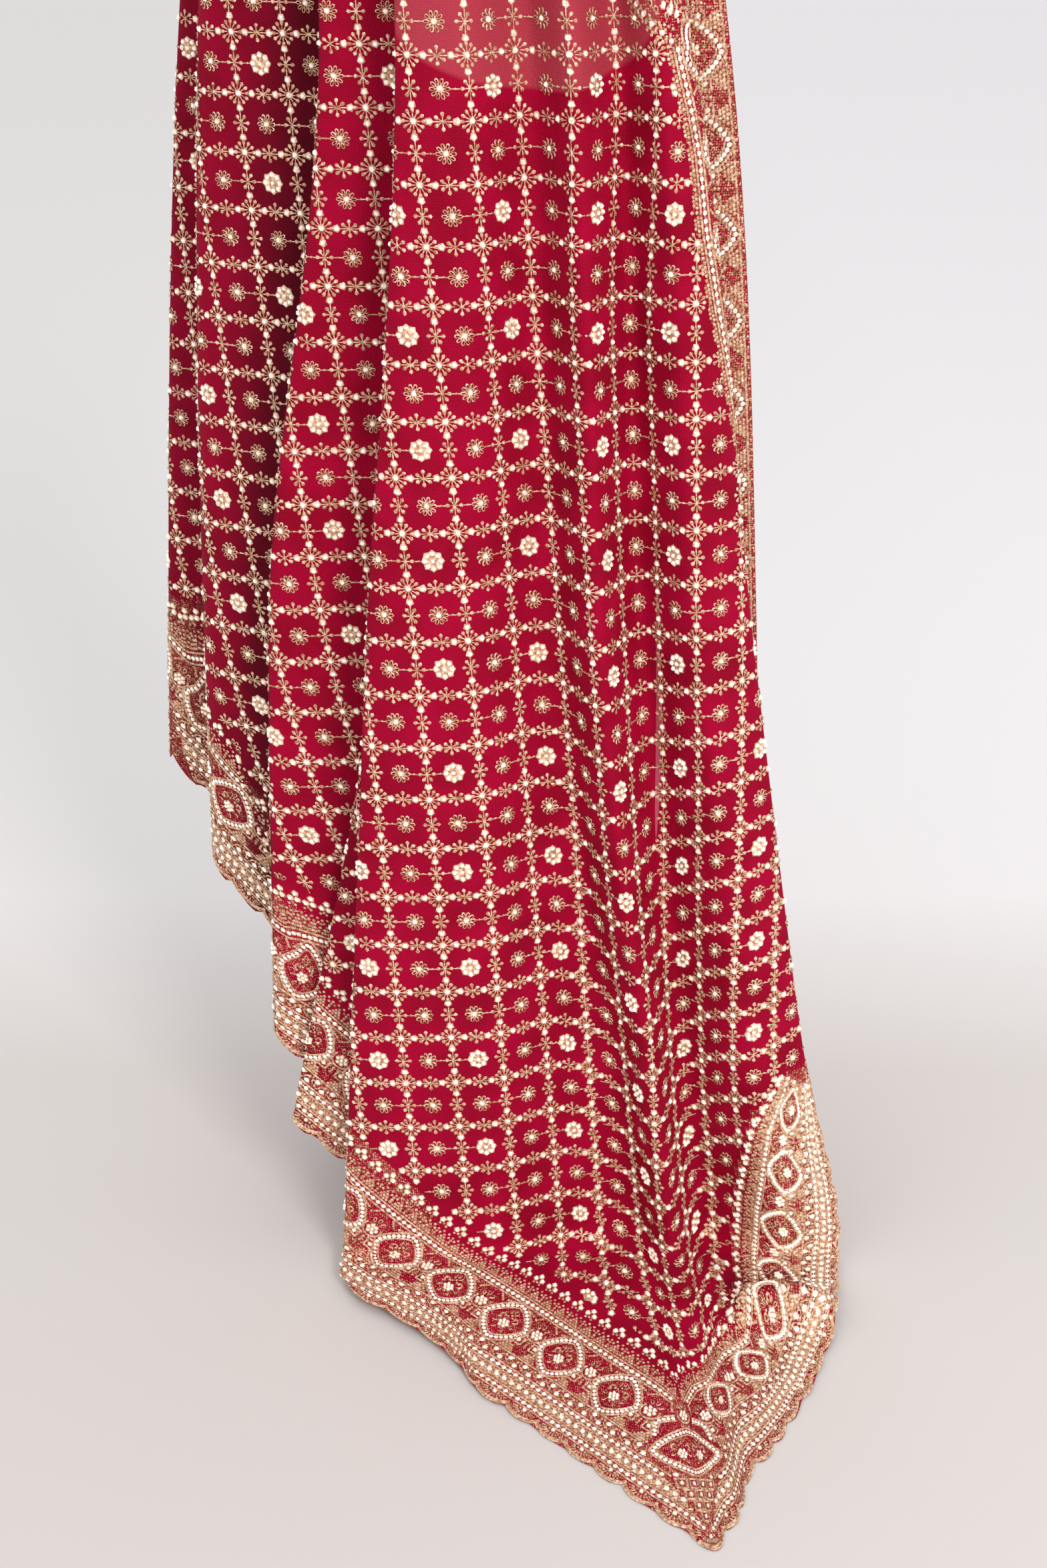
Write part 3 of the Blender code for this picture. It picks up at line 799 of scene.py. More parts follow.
class Work:
    """Embroidery drawn flat: rows of x, y, angle, length and width for each kind of small piece."""

    def __init__(self):
        self.rows = {kind: [] for kind in PIECES}

    def add(self, kind, x, y, length, width=None, angle=0.0):
        """One piece, in millimetres."""
        width = length if width is None else width
        self.rows[kind].append((x * MM, y * MM, angle, length * MM, width * MM))

    def stone(self, x, y, size, turn=0.0):
        """A crystal on the thread that mounts it."""
        self.add("knot", x, y, size * MOUNT, size * MOUNT, turn)
        self.add("crystal", x, y, size, size, turn)

    def ring(self, kind, count, radius, length, width=None, x=0.0, y=0.0, turn=0.0):
        """Pieces round a centre, each pointing outward."""
        for i in range(count):
            angle = turn + 2 * math.pi * i / count
            self.add(kind, x + radius * math.cos(angle), y + radius * math.sin(angle), length, width, angle)

    def line(self, kind, points, pitch, length, width=None):
        """Pieces laid along a line through points, at an even pitch."""
        points = np.asarray(points, float)
        steps = np.linalg.norm(np.diff(points, axis=0), axis=1)
        reach = np.concatenate([[0], np.cumsum(steps)])
        count = max(1, round(reach[-1] / pitch))
        at = (np.arange(count) + 0.5) * reach[-1] / count
        x = np.interp(at, reach, points[:, 0])
        y = np.interp(at, reach, points[:, 1])
        ahead = np.stack([np.interp(at + 0.3, reach, points[:, i]) for i in (0, 1)])
        behind = np.stack([np.interp(at - 0.3, reach, points[:, i]) for i in (0, 1)])
        for i in range(count):
            angle = math.atan2(ahead[1, i] - behind[1, i], ahead[0, i] - behind[0, i])
            self.add(kind, x[i], y[i], length, width, angle)

    def include(self, other, x=0.0, y=0.0, turn=0.0):
        """Another motif, in millimetres from this one's zero."""
        c = math.cos(turn)
        s = math.sin(turn)
        for kind, rows in other.rows.items():
            for px, py, angle, length, width in rows:
                place = (x * MM + c * px - s * py, y * MM + s * px + c * py)
                self.rows[kind].append((*place, angle + turn, length, width))

    def stacked(self):
        return {kind: np.array(rows, float).reshape(-1, 5) for kind, rows in self.rows.items()}


def moved(stacked, places):
    """The motif repeated at each place of the flat pattern."""
    made = {}
    for kind, rows in stacked.items():
        copies = np.repeat(rows[None], len(places), axis=0)
        copies[:, :, :2] += places[:, None, :]
        made[kind] = copies.reshape(-1, 5)
    return made


def mapped(stacked, origin, along, inward):
    """The work moved from a border's own axes to the flat pattern."""
    along = np.asarray(along)
    inward = np.asarray(inward)
    made = {}
    for kind, rows in stacked.items():
        rows = rows.copy()
        heading = np.cos(rows[:, 2])[:, None] * along + np.sin(rows[:, 2])[:, None] * inward
        rows[:, :2] = np.asarray(origin) + rows[:, :1] * along + rows[:, 1:2] * inward
        rows[:, 2] = np.arctan2(heading[:, 1], heading[:, 0])
        made[kind] = rows
    return made


def kept(stacked, test):
    """The pieces whose middle passes the test."""
    return {kind: rows[test(rows[:, 0], rows[:, 1])] for kind, rows in stacked.items()}


def together(*several):
    """Several stretches of work as one."""
    return {kind: np.concatenate([one[kind] for one in several]) for kind in PIECES}


def arc(radius, start, end, x=0.0, y=0.0, squash=1.0, points=14):
    """Points on an arc, in degrees, for a line of stitches."""
    turn = np.radians(np.linspace(start, end, points))
    return np.stack([x + radius * np.cos(turn), y + squash * radius * np.sin(turn)], 1)


def node_flower(rays=12):
    """The trellis crossing: rays with knots at their tips round a mounted crystal."""
    work = Work()
    work.ring("thread", rays, 5.0, 4.0, 0.8)
    work.ring("knot", rays, 7.8, 3.9, 3.3)
    work.stone(0, 0, 5.0)
    return work


def trellis_side(length):
    """One side of a trellis cell, along x from crossing to crossing, in millimetres."""
    work = Work()
    middle = length / 2
    work.add("thread", middle, 0, length - 26, 0.9)
    for end, sign in ((0, 1), (length, -1)):
        work.stone(end + sign * 11.6, 0, 4.9)
    for degrees in (-90, -32, 32, 90, 148, 212):
        angle = math.radians(degrees)
        reach = 5.5
        work.add("knot", middle + reach * math.cos(angle), reach * math.sin(angle), 3.9, 3.4, angle)
        work.add("thread", middle + 2.6 * math.cos(angle), 2.6 * math.sin(angle), 3.6, 0.9, angle)
    work.add("knot", middle, 0, 2.4)
    return work


def plain_trellis_side(length):
    """A simpler side, for the skirt, the pleats and the back."""
    work = Work()
    work.add("thread", length / 2, 0, length - 16, 1.2)
    for end, sign in ((0, 1), (length, -1)):
        work.add("bead", end + sign * 10.7, 0, 4.8)
    work.ring("knot", 4, 4.2, 4.2, 3.8, length / 2, 0, math.pi / 4)
    return work


def rosette(petals=10):
    """Petals outlined in thread round a mounted crystal."""
    work = Work()
    work.ring("loop", petals, 5.2, 6.0, 34 / petals)
    work.stone(0, 0, 4.6)
    return work


def crystal_flower(ring=6.4, stone=4.4, petals=8):
    """Mounted crystals round one more."""
    work = Work()
    for i in range(petals):
        angle = 2 * math.pi * i / petals
        work.stone(ring * math.cos(angle), ring * math.sin(angle), stone, angle)
    work.add("knot", 0, 0, ring * 1.7)
    work.stone(0, 0, stone * 0.95)
    return work


def eased(at, start, end):
    """0 up to start, 1 from end on, and a smooth rise between them."""
    share = np.clip((at - start) / (end - start), 0, 1)
    return share**2 * (3 - 2 * share)


def pull_of_the_hang(across, at_down):
    """How far the hang moves the trellis at places on the flat pattern, as (across, down)."""
    column = across / TRELLIS_ACROSS
    row = at_down / TRELLIS_DOWN
    hang = eased(row, *HANG_ROWS)
    drawn_from, drawn_to = DRAWN_IN_COLUMNS
    lift_from, lift_to = LIFT_COLUMNS
    drawn = DRAWN_IN * (np.clip(column, drawn_from, drawn_to) - drawn_from) * eased(row, *DRAWN_IN_ROWS)
    off_spread = np.abs(column - SPREAD_MIDDLE)
    spread = SPREAD * (1 - eased(off_spread, 0, SPREAD_HALF)) * (1 - eased(row, *SPREAD_ROWS))
    dip = DIP * (1 - eased(np.abs(column - DIP_MIDDLE), 0, DIP_HALF)) * hang
    lift = LIFT_AT_RIGHT * (np.clip(column, lift_from, lift_to) - lift_from) * hang
    return spread - drawn, dip - lift - LIFT * eased(row, *LIFT_ROWS)


def trellis(columns, rows, rich=True):
    """The whole trellis over ranges of column and row numbers. A plain one has fewer and larger stitches."""
    wide = TRELLIS_ACROSS / MM
    tall = TRELLIS_DOWN / MM
    k, n = (grid.ravel() for grid in np.meshgrid(np.arange(*columns), np.arange(*rows)))
    corners = np.stack([k * TRELLIS_ACROSS, n * TRELLIS_DOWN], 1)
    middles = corners + (TRELLIS_ACROSS / 2, TRELLIS_DOWN / 2)
    side = trellis_side if rich else plain_trellis_side
    upright = Work()
    upright.include(side(tall), turn=math.pi / 2)
    jewelled = (k % 2 == 0) & (n % 2 == 0)
    reach = wide / 2 - TIE_FROM_FLOWER - TIE_FROM_SIDE
    tie = Work()
    tie.add("thread", -TIE_FROM_FLOWER - reach / 2, 0, reach, 0.9)
    tie.add("knot", -TIE_FROM_FLOWER - reach / 2, 0, 1.9)
    tie_right = Work()
    tie_right.include(tie, turn=math.pi)
    tied_left = (k + n) % 2 == 0
    return together(
        moved(node_flower(12 if rich else 7).stacked(), corners),
        moved(side(wide).stacked(), corners),
        moved(upright.stacked(), corners),
        moved(rosette(10 if rich else 7).stacked(), middles[~jewelled]),
        moved(crystal_flower(petals=8 if rich else 6).stacked(), middles[jewelled]),
        moved(tie.stacked(), middles[tied_left]),
        moved(tie_right.stacked(), middles[~tied_left]),
    )


def lozenge(half_long, half_tall, power=1.45, points=41):
    """A medallion's outline: a lozenge with softened corners."""
    turn = np.linspace(0, 2 * math.pi, points)
    c = np.cos(turn)
    s = np.sin(turn)
    bulge = half_long * np.sign(c) * np.abs(c) ** power
    rise = half_tall * np.sign(s) * np.abs(s) ** power
    return np.stack([bulge, rise], 1)


def spiral(x, y, size, hand, turn=0.0, points=16):
    """A scroll's line, curling in."""
    angle = turn + hand * np.linspace(0, 1.75 * math.pi, points)
    reach = size * np.linspace(1, 0.3, points)
    return np.stack([x + reach * np.cos(angle), y + reach * np.sin(angle)], 1)


def medallion(half_long=25.0, half_tall=28.0, flowers=(0.0,)):
    """A lozenge of crystals between cords, with crystal flowers, scrolls and leaves inside."""
    work = Work()
    work.line("stitch", lozenge(half_long + 0.6, half_tall + 0.6), 3.3, 3.7, 2.2)
    work.line("bead", lozenge(half_long - 2.6, half_tall - 3.4), 4.4, 4.1)
    work.line("stitch", lozenge(half_long - 5.4, half_tall - 7.2), 3.2, 3.5, 1.7)
    for x in flowers:
        work.include(crystal_flower(3.8, 3.3, 6), x, -3.0)
        for side in (-1, 1):
            work.line("stitch", spiral(x + 6.6 * side, 5.4, 3.6, side, -math.pi / 2), 2.3, 2.7, 1.7)
            work.add("loop", x + 3.2 * side, 12.2, 5.6, 3.0, math.pi / 2 - 0.35 * side)
            work.add("loop", x + 8.6 * side, -4.2, 5.6, 3.0, -0.5 * side + (0 if side > 0 else math.pi))
            work.add("loop", x + 4.6 * side, -11.4, 5.4, 3.0, -math.pi / 2 + 0.5 * side)
            work.add("knot", x + 9.4 * side, 1.2, 2.3)
            work.add("knot", x + 2.6 * side, 6.6, 2.3)
        work.add("loop", x, 14.6, 5.4, 3.2, math.pi / 2)
        work.add("knot", x, 9.2, 2.6)
        work.add("knot", x, -9.6, 2.6)
    return work


def fan(rows, pitch):
    """A triangle of knots that points up."""
    work = Work()
    for row in range(rows):
        count = rows - row
        for i in range(count):
            work.add("knot", (i - (count - 1) / 2) * pitch, row * pitch * 0.86, pitch * 0.98)
    return work


def sprig():
    """Three crystals on thread stems."""
    work = Work()
    work.stone(0, 10.6, 4.8)
    for side in (-1, 1):
        work.stone(3.9 * side, 6.2, 4.8)
        work.add("knot", 3.4 * side, 1.6, 2.8)
    work.add("knot", 0, 3.0, 3.0)
    return work


def bud():
    """A crystal bud in a cup of cord, with leaves above it and a tail of knots below."""
    work = Work()
    work.include(crystal_flower(4.2, 3.5, 6))
    work.line("stitch", arc(8.6, 150, 390, 0, 0, 1.0, 20), 3.0, 3.3, 2.0)
    for side in (-1, 1):
        work.add("loop", 4.6 * side, 9.6, 6.6, 3.8, math.pi / 2 - 0.45 * side)
        work.add("loop", 4.4 * side, -11.4, 6.4, 3.6, -math.pi / 2 + 0.5 * side)
    work.add("loop", 0, 11.6, 6.8, 4.0, math.pi / 2)
    for step in range(3):
        work.add("knot", 0, -12.2 - 3.0 * step, 3.0)
    return work


def stone_tile(half=4.6):
    """A small square of cord with a crystal in it."""
    work = Work()
    square = [(-half, -half), (half, -half), (half, half), (-half, half), (-half, -half)]
    work.line("stitch", square, 3.1, 3.4, 1.9)
    work.stone(0, 0, 3.9)
    return work


def border_unit():
    """One repeat of the border. x runs along the hem and y inward from its plain edge."""
    unit = BORDER_UNIT / MM
    wave = SCALLOP / MM
    work = Work()
    for n in range(2):
        start = n * wave
        x = np.linspace(start, start + wave, 25)
        edge = -scallop(x * MM) / MM
        for inset, width in ((1.2, 2.6), (3.3, 2.0)):
            work.line("stitch", np.stack([x, edge + inset], 1), 2.3, 2.7, width)
        heart = start + wave / 2
        for i in range(9):
            angle = math.pi * (i + 0.5) / 9
            c = math.cos(angle)
            s = math.sin(angle)
            work.add("stitch", heart + 8.6 * c, 7.6 - 6.2 * s, 3.0, 1.5, -angle)
            work.add("knot", heart + 11.4 * c, 7.4 - 8.0 * s, 1.9)
        work.stone(heart, 6.6, 3.8)
        for side in (-1, 1):
            work.add("knot", heart + 4.4 * side, 6.6, 2.6)
        work.add("knot", start, 5.4, 3.4)
    cords = ((9.6, 2.0), (17.0, 1.9), (30.4, 1.9), (37.6, 2.0), (51.6, 2.0), (106.6, 2.0), (114.4, 2.0))
    for level, width in cords:
        work.line("stitch", [(0, level), (unit, level)], 3.2, 3.6, width)
    for level, pitch, size in ((13.3, 6.8, 4.6), (34.0, 6.8, 4.6), (110.5, 5.9, 4.4)):
        work.line("bead", [(0, level), (unit, level)], pitch, size)
        work.line("knot", [(pitch / 2, level), (unit + pitch / 2, level)], pitch, 2.4)
    for n in range(8):
        x = (n + 0.5) * unit / 8
        work.stone(x, STONE_ROW, 5.2)
        for side in (-1, 1):
            work.add("stitch", x - 2.1, STONE_ROW + 3.4 * side, 4.6, 1.8, side * 0.9)
            work.add("stitch", x + 2.1, STONE_ROW + 3.4 * side, 4.6, 1.8, -side * 0.9)
            work.add("knot", x + unit / 16, STONE_ROW + 3.9 * side, 3.0)
            work.add("knot", x, STONE_ROW + 5.4 * side, 2.2)
        work.add("knot", x + unit / 16, STONE_ROW, 2.8)
    for n in range(8):
        x = (n + 0.5) * unit / 8
        way = 1 if n % 2 else -1
        work.add("loop", x - 1.9, LEAF_ROW, 7.8, 4.4, math.pi / 2 + 0.75 * way)
        work.add("bead", x + unit / 16, LEAF_ROW + 2.8 * way, 5.2)
        work.add("knot", x + unit / 16, LEAF_ROW - 2.8 * way, 3.0)
        for side in (1, -1):
            work.add("knot", x + 1.4, LEAF_ROW + 4 * side, 2.4)
    work.include(medallion(), unit / 2, 79.0)
    work.include(bud(), 0, 84.0)
    for side in (-1, 1):
        work.include(fan(4, 3.3), unit / 2 + side * 19.5, 54.4)
        work.include(fan(3, 3.3), side * 9.8, 54.4)
        work.include(stone_tile(), unit / 2 + side * 24.0, 69.5)
        for step in range(4):
            work.add("knot", unit / 2 + side * (15.6 - 2.6 * step), 101.0 + 0.9 * step, 2.8)
            work.add("knot", unit / 2 + side * (20.4 + 1.6 * step), 98.6 + 1.8 * step, 2.8)
    for n in range(4):
        x = n * unit / 4
        work.include(fan(4, 3.2), x, 117.6)
        work.add("knot", x + unit / 8, 118.2, 3.2)
        work.include(sprig(), x + unit / 8, 132.0)
        for step in range(3):
            work.add("knot", x + unit / 8, 121.4 + 3.2 * step, 3.0)
        for side in (-1, 1):
            work.add("knot", x + unit / 8 + 3.2 * side, 125.6, 2.9)
            work.add("knot", x + unit / 8 + 5.4 * side, 129.0, 2.9)
    return work


def border_run(count, starts=0.0):
    """A run of border repeats along x."""
    places = np.stack([starts + np.arange(count) * BORDER_UNIT, np.zeros(count)], 1)
    return moved(border_unit().stacked(), places)


def corner_work():
    """The pallu's corner: a wide medallion on the mitre, tiles under it and a fan in the rounded lobe."""
    work = Work()
    work.include(medallion(40, 27, (-12.0, 12.0)), 0, 110)
    work.include(bud(), 0, 152)
    for level, count in ((74.0, 4), (62.0, 3), (50.0, 2), (38.5, 1)):
        for i in range(count):
            work.include(stone_tile(5.0), (i - (count - 1) / 2) * 12.6, level)
            work.add("knot", (i - (count - 1) / 2) * 12.6, level - 6.4, 2.8)
    lobe = CORNER_LOBE / MM
    centre = CORNER_LOBE_UP / MM
    for inset, width in ((1.6, 2.8), (4.0, 2.0)):
        work.line("stitch", arc(lobe - inset, 222, 318, 0, centre), 2.4, 2.8, width)
    for i in range(11):
        angle = math.radians(228 + 8.4 * i)
        work.add("stitch", 14 * math.cos(angle), centre + 14 * math.sin(angle), 5.0, 1.6, angle)
        work.add("knot", 17.6 * math.cos(angle), centre + 17.6 * math.sin(angle), 2.2)
    work.stone(0, 17.0, 4.4)
    for side in (-1, 1):
        work.add("knot", 5.2 * side, 18.6, 3.0)
        work.add("knot", 2.8 * side, 23.0, 3.0)
    return work


def linear(hex_colour):
    """An sRGB hex colour as linear red, green, blue and alpha."""
    parts = [int(hex_colour[i : i + 2], 16) / 255 for i in (1, 3, 5)]
    return (*[c / 12.92 if c <= 0.04045 else ((c + 0.055) / 1.055) ** 2.4 for c in parts], 1.0)


def fill(material, node, inputs):
    """Sets a node's inputs. Each is a value or another node's output."""
    for name, value in inputs.items():
        if isinstance(value, bpy.types.NodeSocket):
            material.node_tree.links.new(value, node.inputs[name])
        else:
            node.inputs[name].default_value = value


def add_node(material, kind, settings, inputs, stops=()):
    """A node with its settings, its inputs and, for a ramp, its colour stops."""
    node = material.node_tree.nodes.new(kind)
    for name, value in settings.items():
        setattr(node, name, value)
    fill(material, node, inputs)
    for _ in stops[2:]:
        node.color_ramp.elements.new(0.5)
    for i, (position, colour) in enumerate(stops):
        node.color_ramp.elements[i].position = position
        node.color_ramp.elements[i].color = colour
    return node


def new_material(name):
    """(material, its shader) with nothing linked."""
    material = bpy.data.materials.new(name)
    material.use_nodes = True
    return material, material.node_tree.nodes["Principled BSDF"]


def coloured(stops):
    """A ramp's stops from positions and sRGB hex colours."""
    return [(position, linear(hex_colour)) for position, hex_colour in stops]


def inside_oval(material, x, y, middle, halves, lean=0.0):
    """1 inside an oval of the flat pattern and 0 outside it. The pattern's y runs up."""
    off_y = add_node(material, "ShaderNodeMath", SUBTRACT, {0: y, 1: middle[1]}).outputs[0]
    leaned = add_node(material, "ShaderNodeMath", MULTIPLY, {0: off_y, 1: lean}).outputs[0]
    from_middle = add_node(material, "ShaderNodeMath", SUBTRACT, {0: x, 1: middle[0]}).outputs[0]
    off_x = add_node(material, "ShaderNodeMath", SUBTRACT, {0: from_middle, 1: leaned}).outputs[0]
    squares = []
    for off, half in ((off_x, halves[0]), (off_y, halves[1])):
        part = add_node(material, "ShaderNodeMath", DIVIDE, {0: off, 1: half}).outputs[0]
        squares.append(add_node(material, "ShaderNodeMath", MULTIPLY, {0: part, 1: part}).outputs[0])
    reach = add_node(material, "ShaderNodeMath", ADD, {0: squares[0], 1: squares[1]}).outputs[0]
    edge = {"Value": reach, "From Min": 1.05, "From Max": 0.95}
    return add_node(material, "ShaderNodeMapRange", {}, edge).outputs["Result"]


def painted_light_through(material, cloth, ground):
    """Painted light showing through: the ground lighter where one layer hangs clear above the skirt's top and
    in one slit beside a fold.
    """
    parts = add_node(material, "ShaderNodeSeparateXYZ", {}, {"Vector": cloth}).outputs
    x = parts["X"]
    y = parts["Y"]
    capped = add_node(material, "ShaderNodeMath", MINIMUM, {0: y, 1: CLEAR_MIDDLE[1]}).outputs[0]
    clear = inside_oval(material, x, capped, CLEAR_MIDDLE, CLEAR_HALVES)
    fading = {"Value": y, "From Min": CLEAR_ENDS_BY, "From Max": CLEAR_FADES_FROM}
    fade = add_node(material, "ShaderNodeMapRange", {}, fading).outputs["Result"]
    share = add_node(material, "ShaderNodeMath", MULTIPLY, {0: clear, 1: fade}).outputs[0]
    # Painted light showing through the single layer, and palest in the slit
    painted_light_clear = {"Factor": share, MIX_FIRST: ground, MIX_SECOND: linear("#B03A4A")}
    ground = add_node(material, "ShaderNodeMix", OF_COLOURS, painted_light_clear).outputs[MIXED]
    slit = inside_oval(material, x, y, SLIT_MIDDLE, SLIT_HALVES, SLIT_LEAN)
    painted_light_slit = {"Factor": slit, MIX_FIRST: ground, MIX_SECOND: linear("#BC5468")}
    return add_node(material, "ShaderNodeMix", OF_COLOURS, painted_light_slit).outputs[MIXED]


def border_stitches(material, cloth):
    """(rise, colour) of the small stitches all over the border. Rise is above 0 where a stitch lies."""
    inset = add_node(material, "ShaderNodeAttribute", {"attribute_name": "inset"}, {}).outputs["Fac"]
    share = add_node(material, "ShaderNodeMath", DIVIDE, {0: inset, 1: BORDER_WIDTH}).outputs[0]
    stops = [(at * MM / BORDER_WIDTH, (level, level, level, 1.0)) for at, level in STITCHED]
    covered = add_node(material, "ShaderNodeValToRGB", {}, {"Fac": share}, stops).outputs["Color"]
    spots = {"Vector": cloth, "Scale": 1 / STITCH_SIZE, "Randomness": 0.4}
    stitch = add_node(material, "ShaderNodeTexVoronoi", {}, spots).outputs
    rise = add_node(material, "ShaderNodeMath", SUBTRACT, {0: covered, 1: stitch["Distance"]}).outputs[0]
    tone = add_node(material, "ShaderNodeSeparateColor", {}, {"Color": stitch["Color"]}).outputs["Red"]
    golds = coloured(((0.0, "#82462F"), (0.5, "#B98260"), (1.0, "#E8C4A4")))
    return rise, add_node(material, "ShaderNodeValToRGB", {}, {"Fac": tone}, golds).outputs["Color"]


def woven_georgette():
    """Silk georgette of crepe-twisted yarn: matt and finely pebbled, stitched all over its border."""
    material, shader = new_material("woven_silk_georgette")
    cloth = add_node(material, "ShaderNodeUVMap", {"uv_map": "pattern"}, {}).outputs["UV"]
    patches = {"Vector": cloth, "Scale": 1 / DYE_PATCH, "Detail": 3.0}
    depth = add_node(material, "ShaderNodeTexNoise", {}, patches).outputs["Fac"]
    reds = coloured(((0.35, "#900024"), (0.65, "#A80031")))
    ground = add_node(material, "ShaderNodeValToRGB", {}, {"Fac": depth}, reds).outputs["Color"]
    ground = painted_light_through(material, cloth, ground)
    rise, gold = border_stitches(material, cloth)
    on_stitch = {"Value": rise, "From Min": 0.0, "From Max": 0.06}
    stitched = add_node(material, "ShaderNodeMapRange", {}, on_stitch).outputs["Result"]
    over = {"Factor": stitched, MIX_FIRST: ground, MIX_SECOND: gold}
    colour = add_node(material, "ShaderNodeMix", OF_COLOURS, over).outputs[MIXED]
    # Painted shade: the colour is darkened toward a deep red where the shade attribute is high
    shade = add_node(material, "ShaderNodeAttribute", {"attribute_name": "shade"}, {}).outputs["Fac"]
    painted_shade_mix = {"Factor": shade, MIX_FIRST: colour, MIX_SECOND: linear("#34000C")}
    colour = add_node(material, "ShaderNodeMix", OF_COLOURS, painted_shade_mix).outputs[MIXED]
    pebbles = {"Vector": cloth, "Scale": 1 / CREPE_PEBBLE, "Detail": 2.0}
    grain = add_node(material, "ShaderNodeTexNoise", {}, pebbles).outputs["Fac"]
    raised_stitch = add_node(material, "ShaderNodeMath", MULTIPLY, {0: rise, 1: 8.0}).outputs[0]
    height = add_node(material, "ShaderNodeMath", ADD, {0: grain, 1: raised_stitch}).outputs[0]
    relief = {"Height": height, "Strength": 0.4, "Distance": 0.4 * MM}
    surface = {
        "Base Color": colour,
        "Normal": add_node(material, "ShaderNodeBump", {}, relief).outputs["Normal"],
        "Roughness": 0.7,
        "Sheen Weight": 0.06,
        "Sheen Tint": linear("#FF2040"),
        "Specular IOR Level": 0.08,
    }
    fill(material, shader, surface)
    return material


def zari_thread():
    """Zari: rose-gold foil wound on thread, couched and knotted. Its tone runs from copper to near-white,
    partly its own and partly painted highlights.
    """
    material, shader = new_material("couched_rose_gold_zari")
    place = add_node(material, "ShaderNodeTexCoord", {}, {}).outputs["Object"]
    # Painted glints: near-white patches in the base colour stand in for highlights on the foil
    painted_glint_spots = {"Vector": place, "Scale": 1 / ZARI_PAINTED_GLINT, "Detail": 2.0}
    tone = add_node(material, "ShaderNodeTexNoise", {}, painted_glint_spots).outputs["Fac"]
    golds = coloured(((0.3, "#9E6848"), (0.5, "#D8A884"), (0.68, "#FCE8D0")))
    strands = {"Vector": place, "Scale": 1 / ZARI_STRAND, "Detail": 1.0}
    strand = add_node(material, "ShaderNodeTexNoise", {}, strands).outputs["Fac"]
    relief = {"Height": strand, "Strength": 0.6, "Distance": 0.3 * MM}
    surface = {
        "Base Color": add_node(material, "ShaderNodeValToRGB", {}, {"Fac": tone}, golds).outputs["Color"],
        "Normal": add_node(material, "ShaderNodeBump", {}, relief).outputs["Normal"],
        "Metallic": 0.25,
        "Roughness": 0.4,
    }
    fill(material, shader, surface)
    return material


def foiled_crystal():
    """Cut glass backed with foil: painted reflections of bright silvery facets with darker ones between, and
    a painted glow.
    """
    material, shader = new_material("cut_foiled_crystal")
    place = add_node(material, "ShaderNodeTexCoord", {}, {}).outputs["Object"]
    # Painted reflections: each facet cell is painted a brighter or darker silver
    cells = {"Vector": place, "Scale": 1 / CRYSTAL_PAINTED_FACET}
    facets = add_node(material, "ShaderNodeTexVoronoi", {}, cells).outputs["Color"]
    tone = add_node(material, "ShaderNodeSeparateColor", {}, {"Color": facets}).outputs["Red"]
    painted_facet_tones = coloured(((0.0, "#A89A84"), (0.25, "#E6DAC6"), (0.45, "#FDF8EC"), (1.0, "#FFFEFA")))
    surface = {
        "Base Color": add_node(material, "ShaderNodeValToRGB", {}, {"Fac": tone}, painted_facet_tones).outputs["Color"],
        "Metallic": 0.2,
        "Roughness": 0.14,
        # Painted glow: the emission stands in for the crystals' sparkle
        "Emission Color": linear("#FFF8E8"),
        "Emission Strength": 0.38,
    }
    fill(material, shader, surface)
    return material


def mesh_object(name, points, faces, material, flat=False):
    """A piece from arrays of points, given as heights above the floor, and of triangles or quads."""
    points = np.asarray(points, np.float32).reshape(-1, 3) - np.array((0, 0, WAIST_HEIGHT), np.float32)
    faces = np.asarray(faces, np.int32)
    mesh = bpy.data.meshes.new(name)
    mesh.vertices.add(len(points))
    mesh.vertices.foreach_set("co", points.ravel())
    mesh.loops.add(faces.size)
    mesh.loops.foreach_set("vertex_index", faces.ravel())
    mesh.polygons.add(len(faces))
    mesh.polygons.foreach_set("loop_start", np.arange(0, faces.size, faces.shape[1], dtype=np.int32))
    mesh.polygons.foreach_set("use_smooth", np.full(len(faces), not flat))
    mesh.update()
    mesh.validate()
    mesh.materials.append(material)
    obj = bpy.data.objects.new(name, mesh)
    bpy.context.scene.collection.objects.link(obj)
    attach(obj, "root")
    return obj


def cloth_sheet(name, points, across, at_down, inset, material, around=False, shade=None):
    """A thin sheet on a grid of points, with its flat pattern as UVs, and its inset and painted shade by
    point.
    """
    rows, columns = points.shape[:2]
    r, c = np.meshgrid(np.arange(rows - 1), np.arange(columns if around else columns - 1), indexing="ij")
    here = (r * columns + c).ravel()
    beside = (r * columns + (c + 1) % columns).ravel()
    faces = np.stack([here, here + columns, beside + columns, beside], 1)
    obj = mesh_object(name, points, faces, material)
    mesh = obj.data
    corners = np.empty(len(mesh.loops), np.int32)
    mesh.loops.foreach_get("vertex_index", corners)
    pattern = np.stack([across.ravel()[corners], -at_down.ravel()[corners]], 1)
    mesh.uv_layers.new(name="pattern").data.foreach_set("uv", pattern.astype(np.float32).ravel())
    insets = mesh.attributes.new("inset", "FLOAT", "POINT")
    insets.data.foreach_set("value", inset.astype(np.float32).ravel())
    if shade is not None:
        shades = mesh.attributes.new("shade", "FLOAT", "POINT")
        shades.data.foreach_set("value", shade.astype(np.float32).ravel())
    return obj


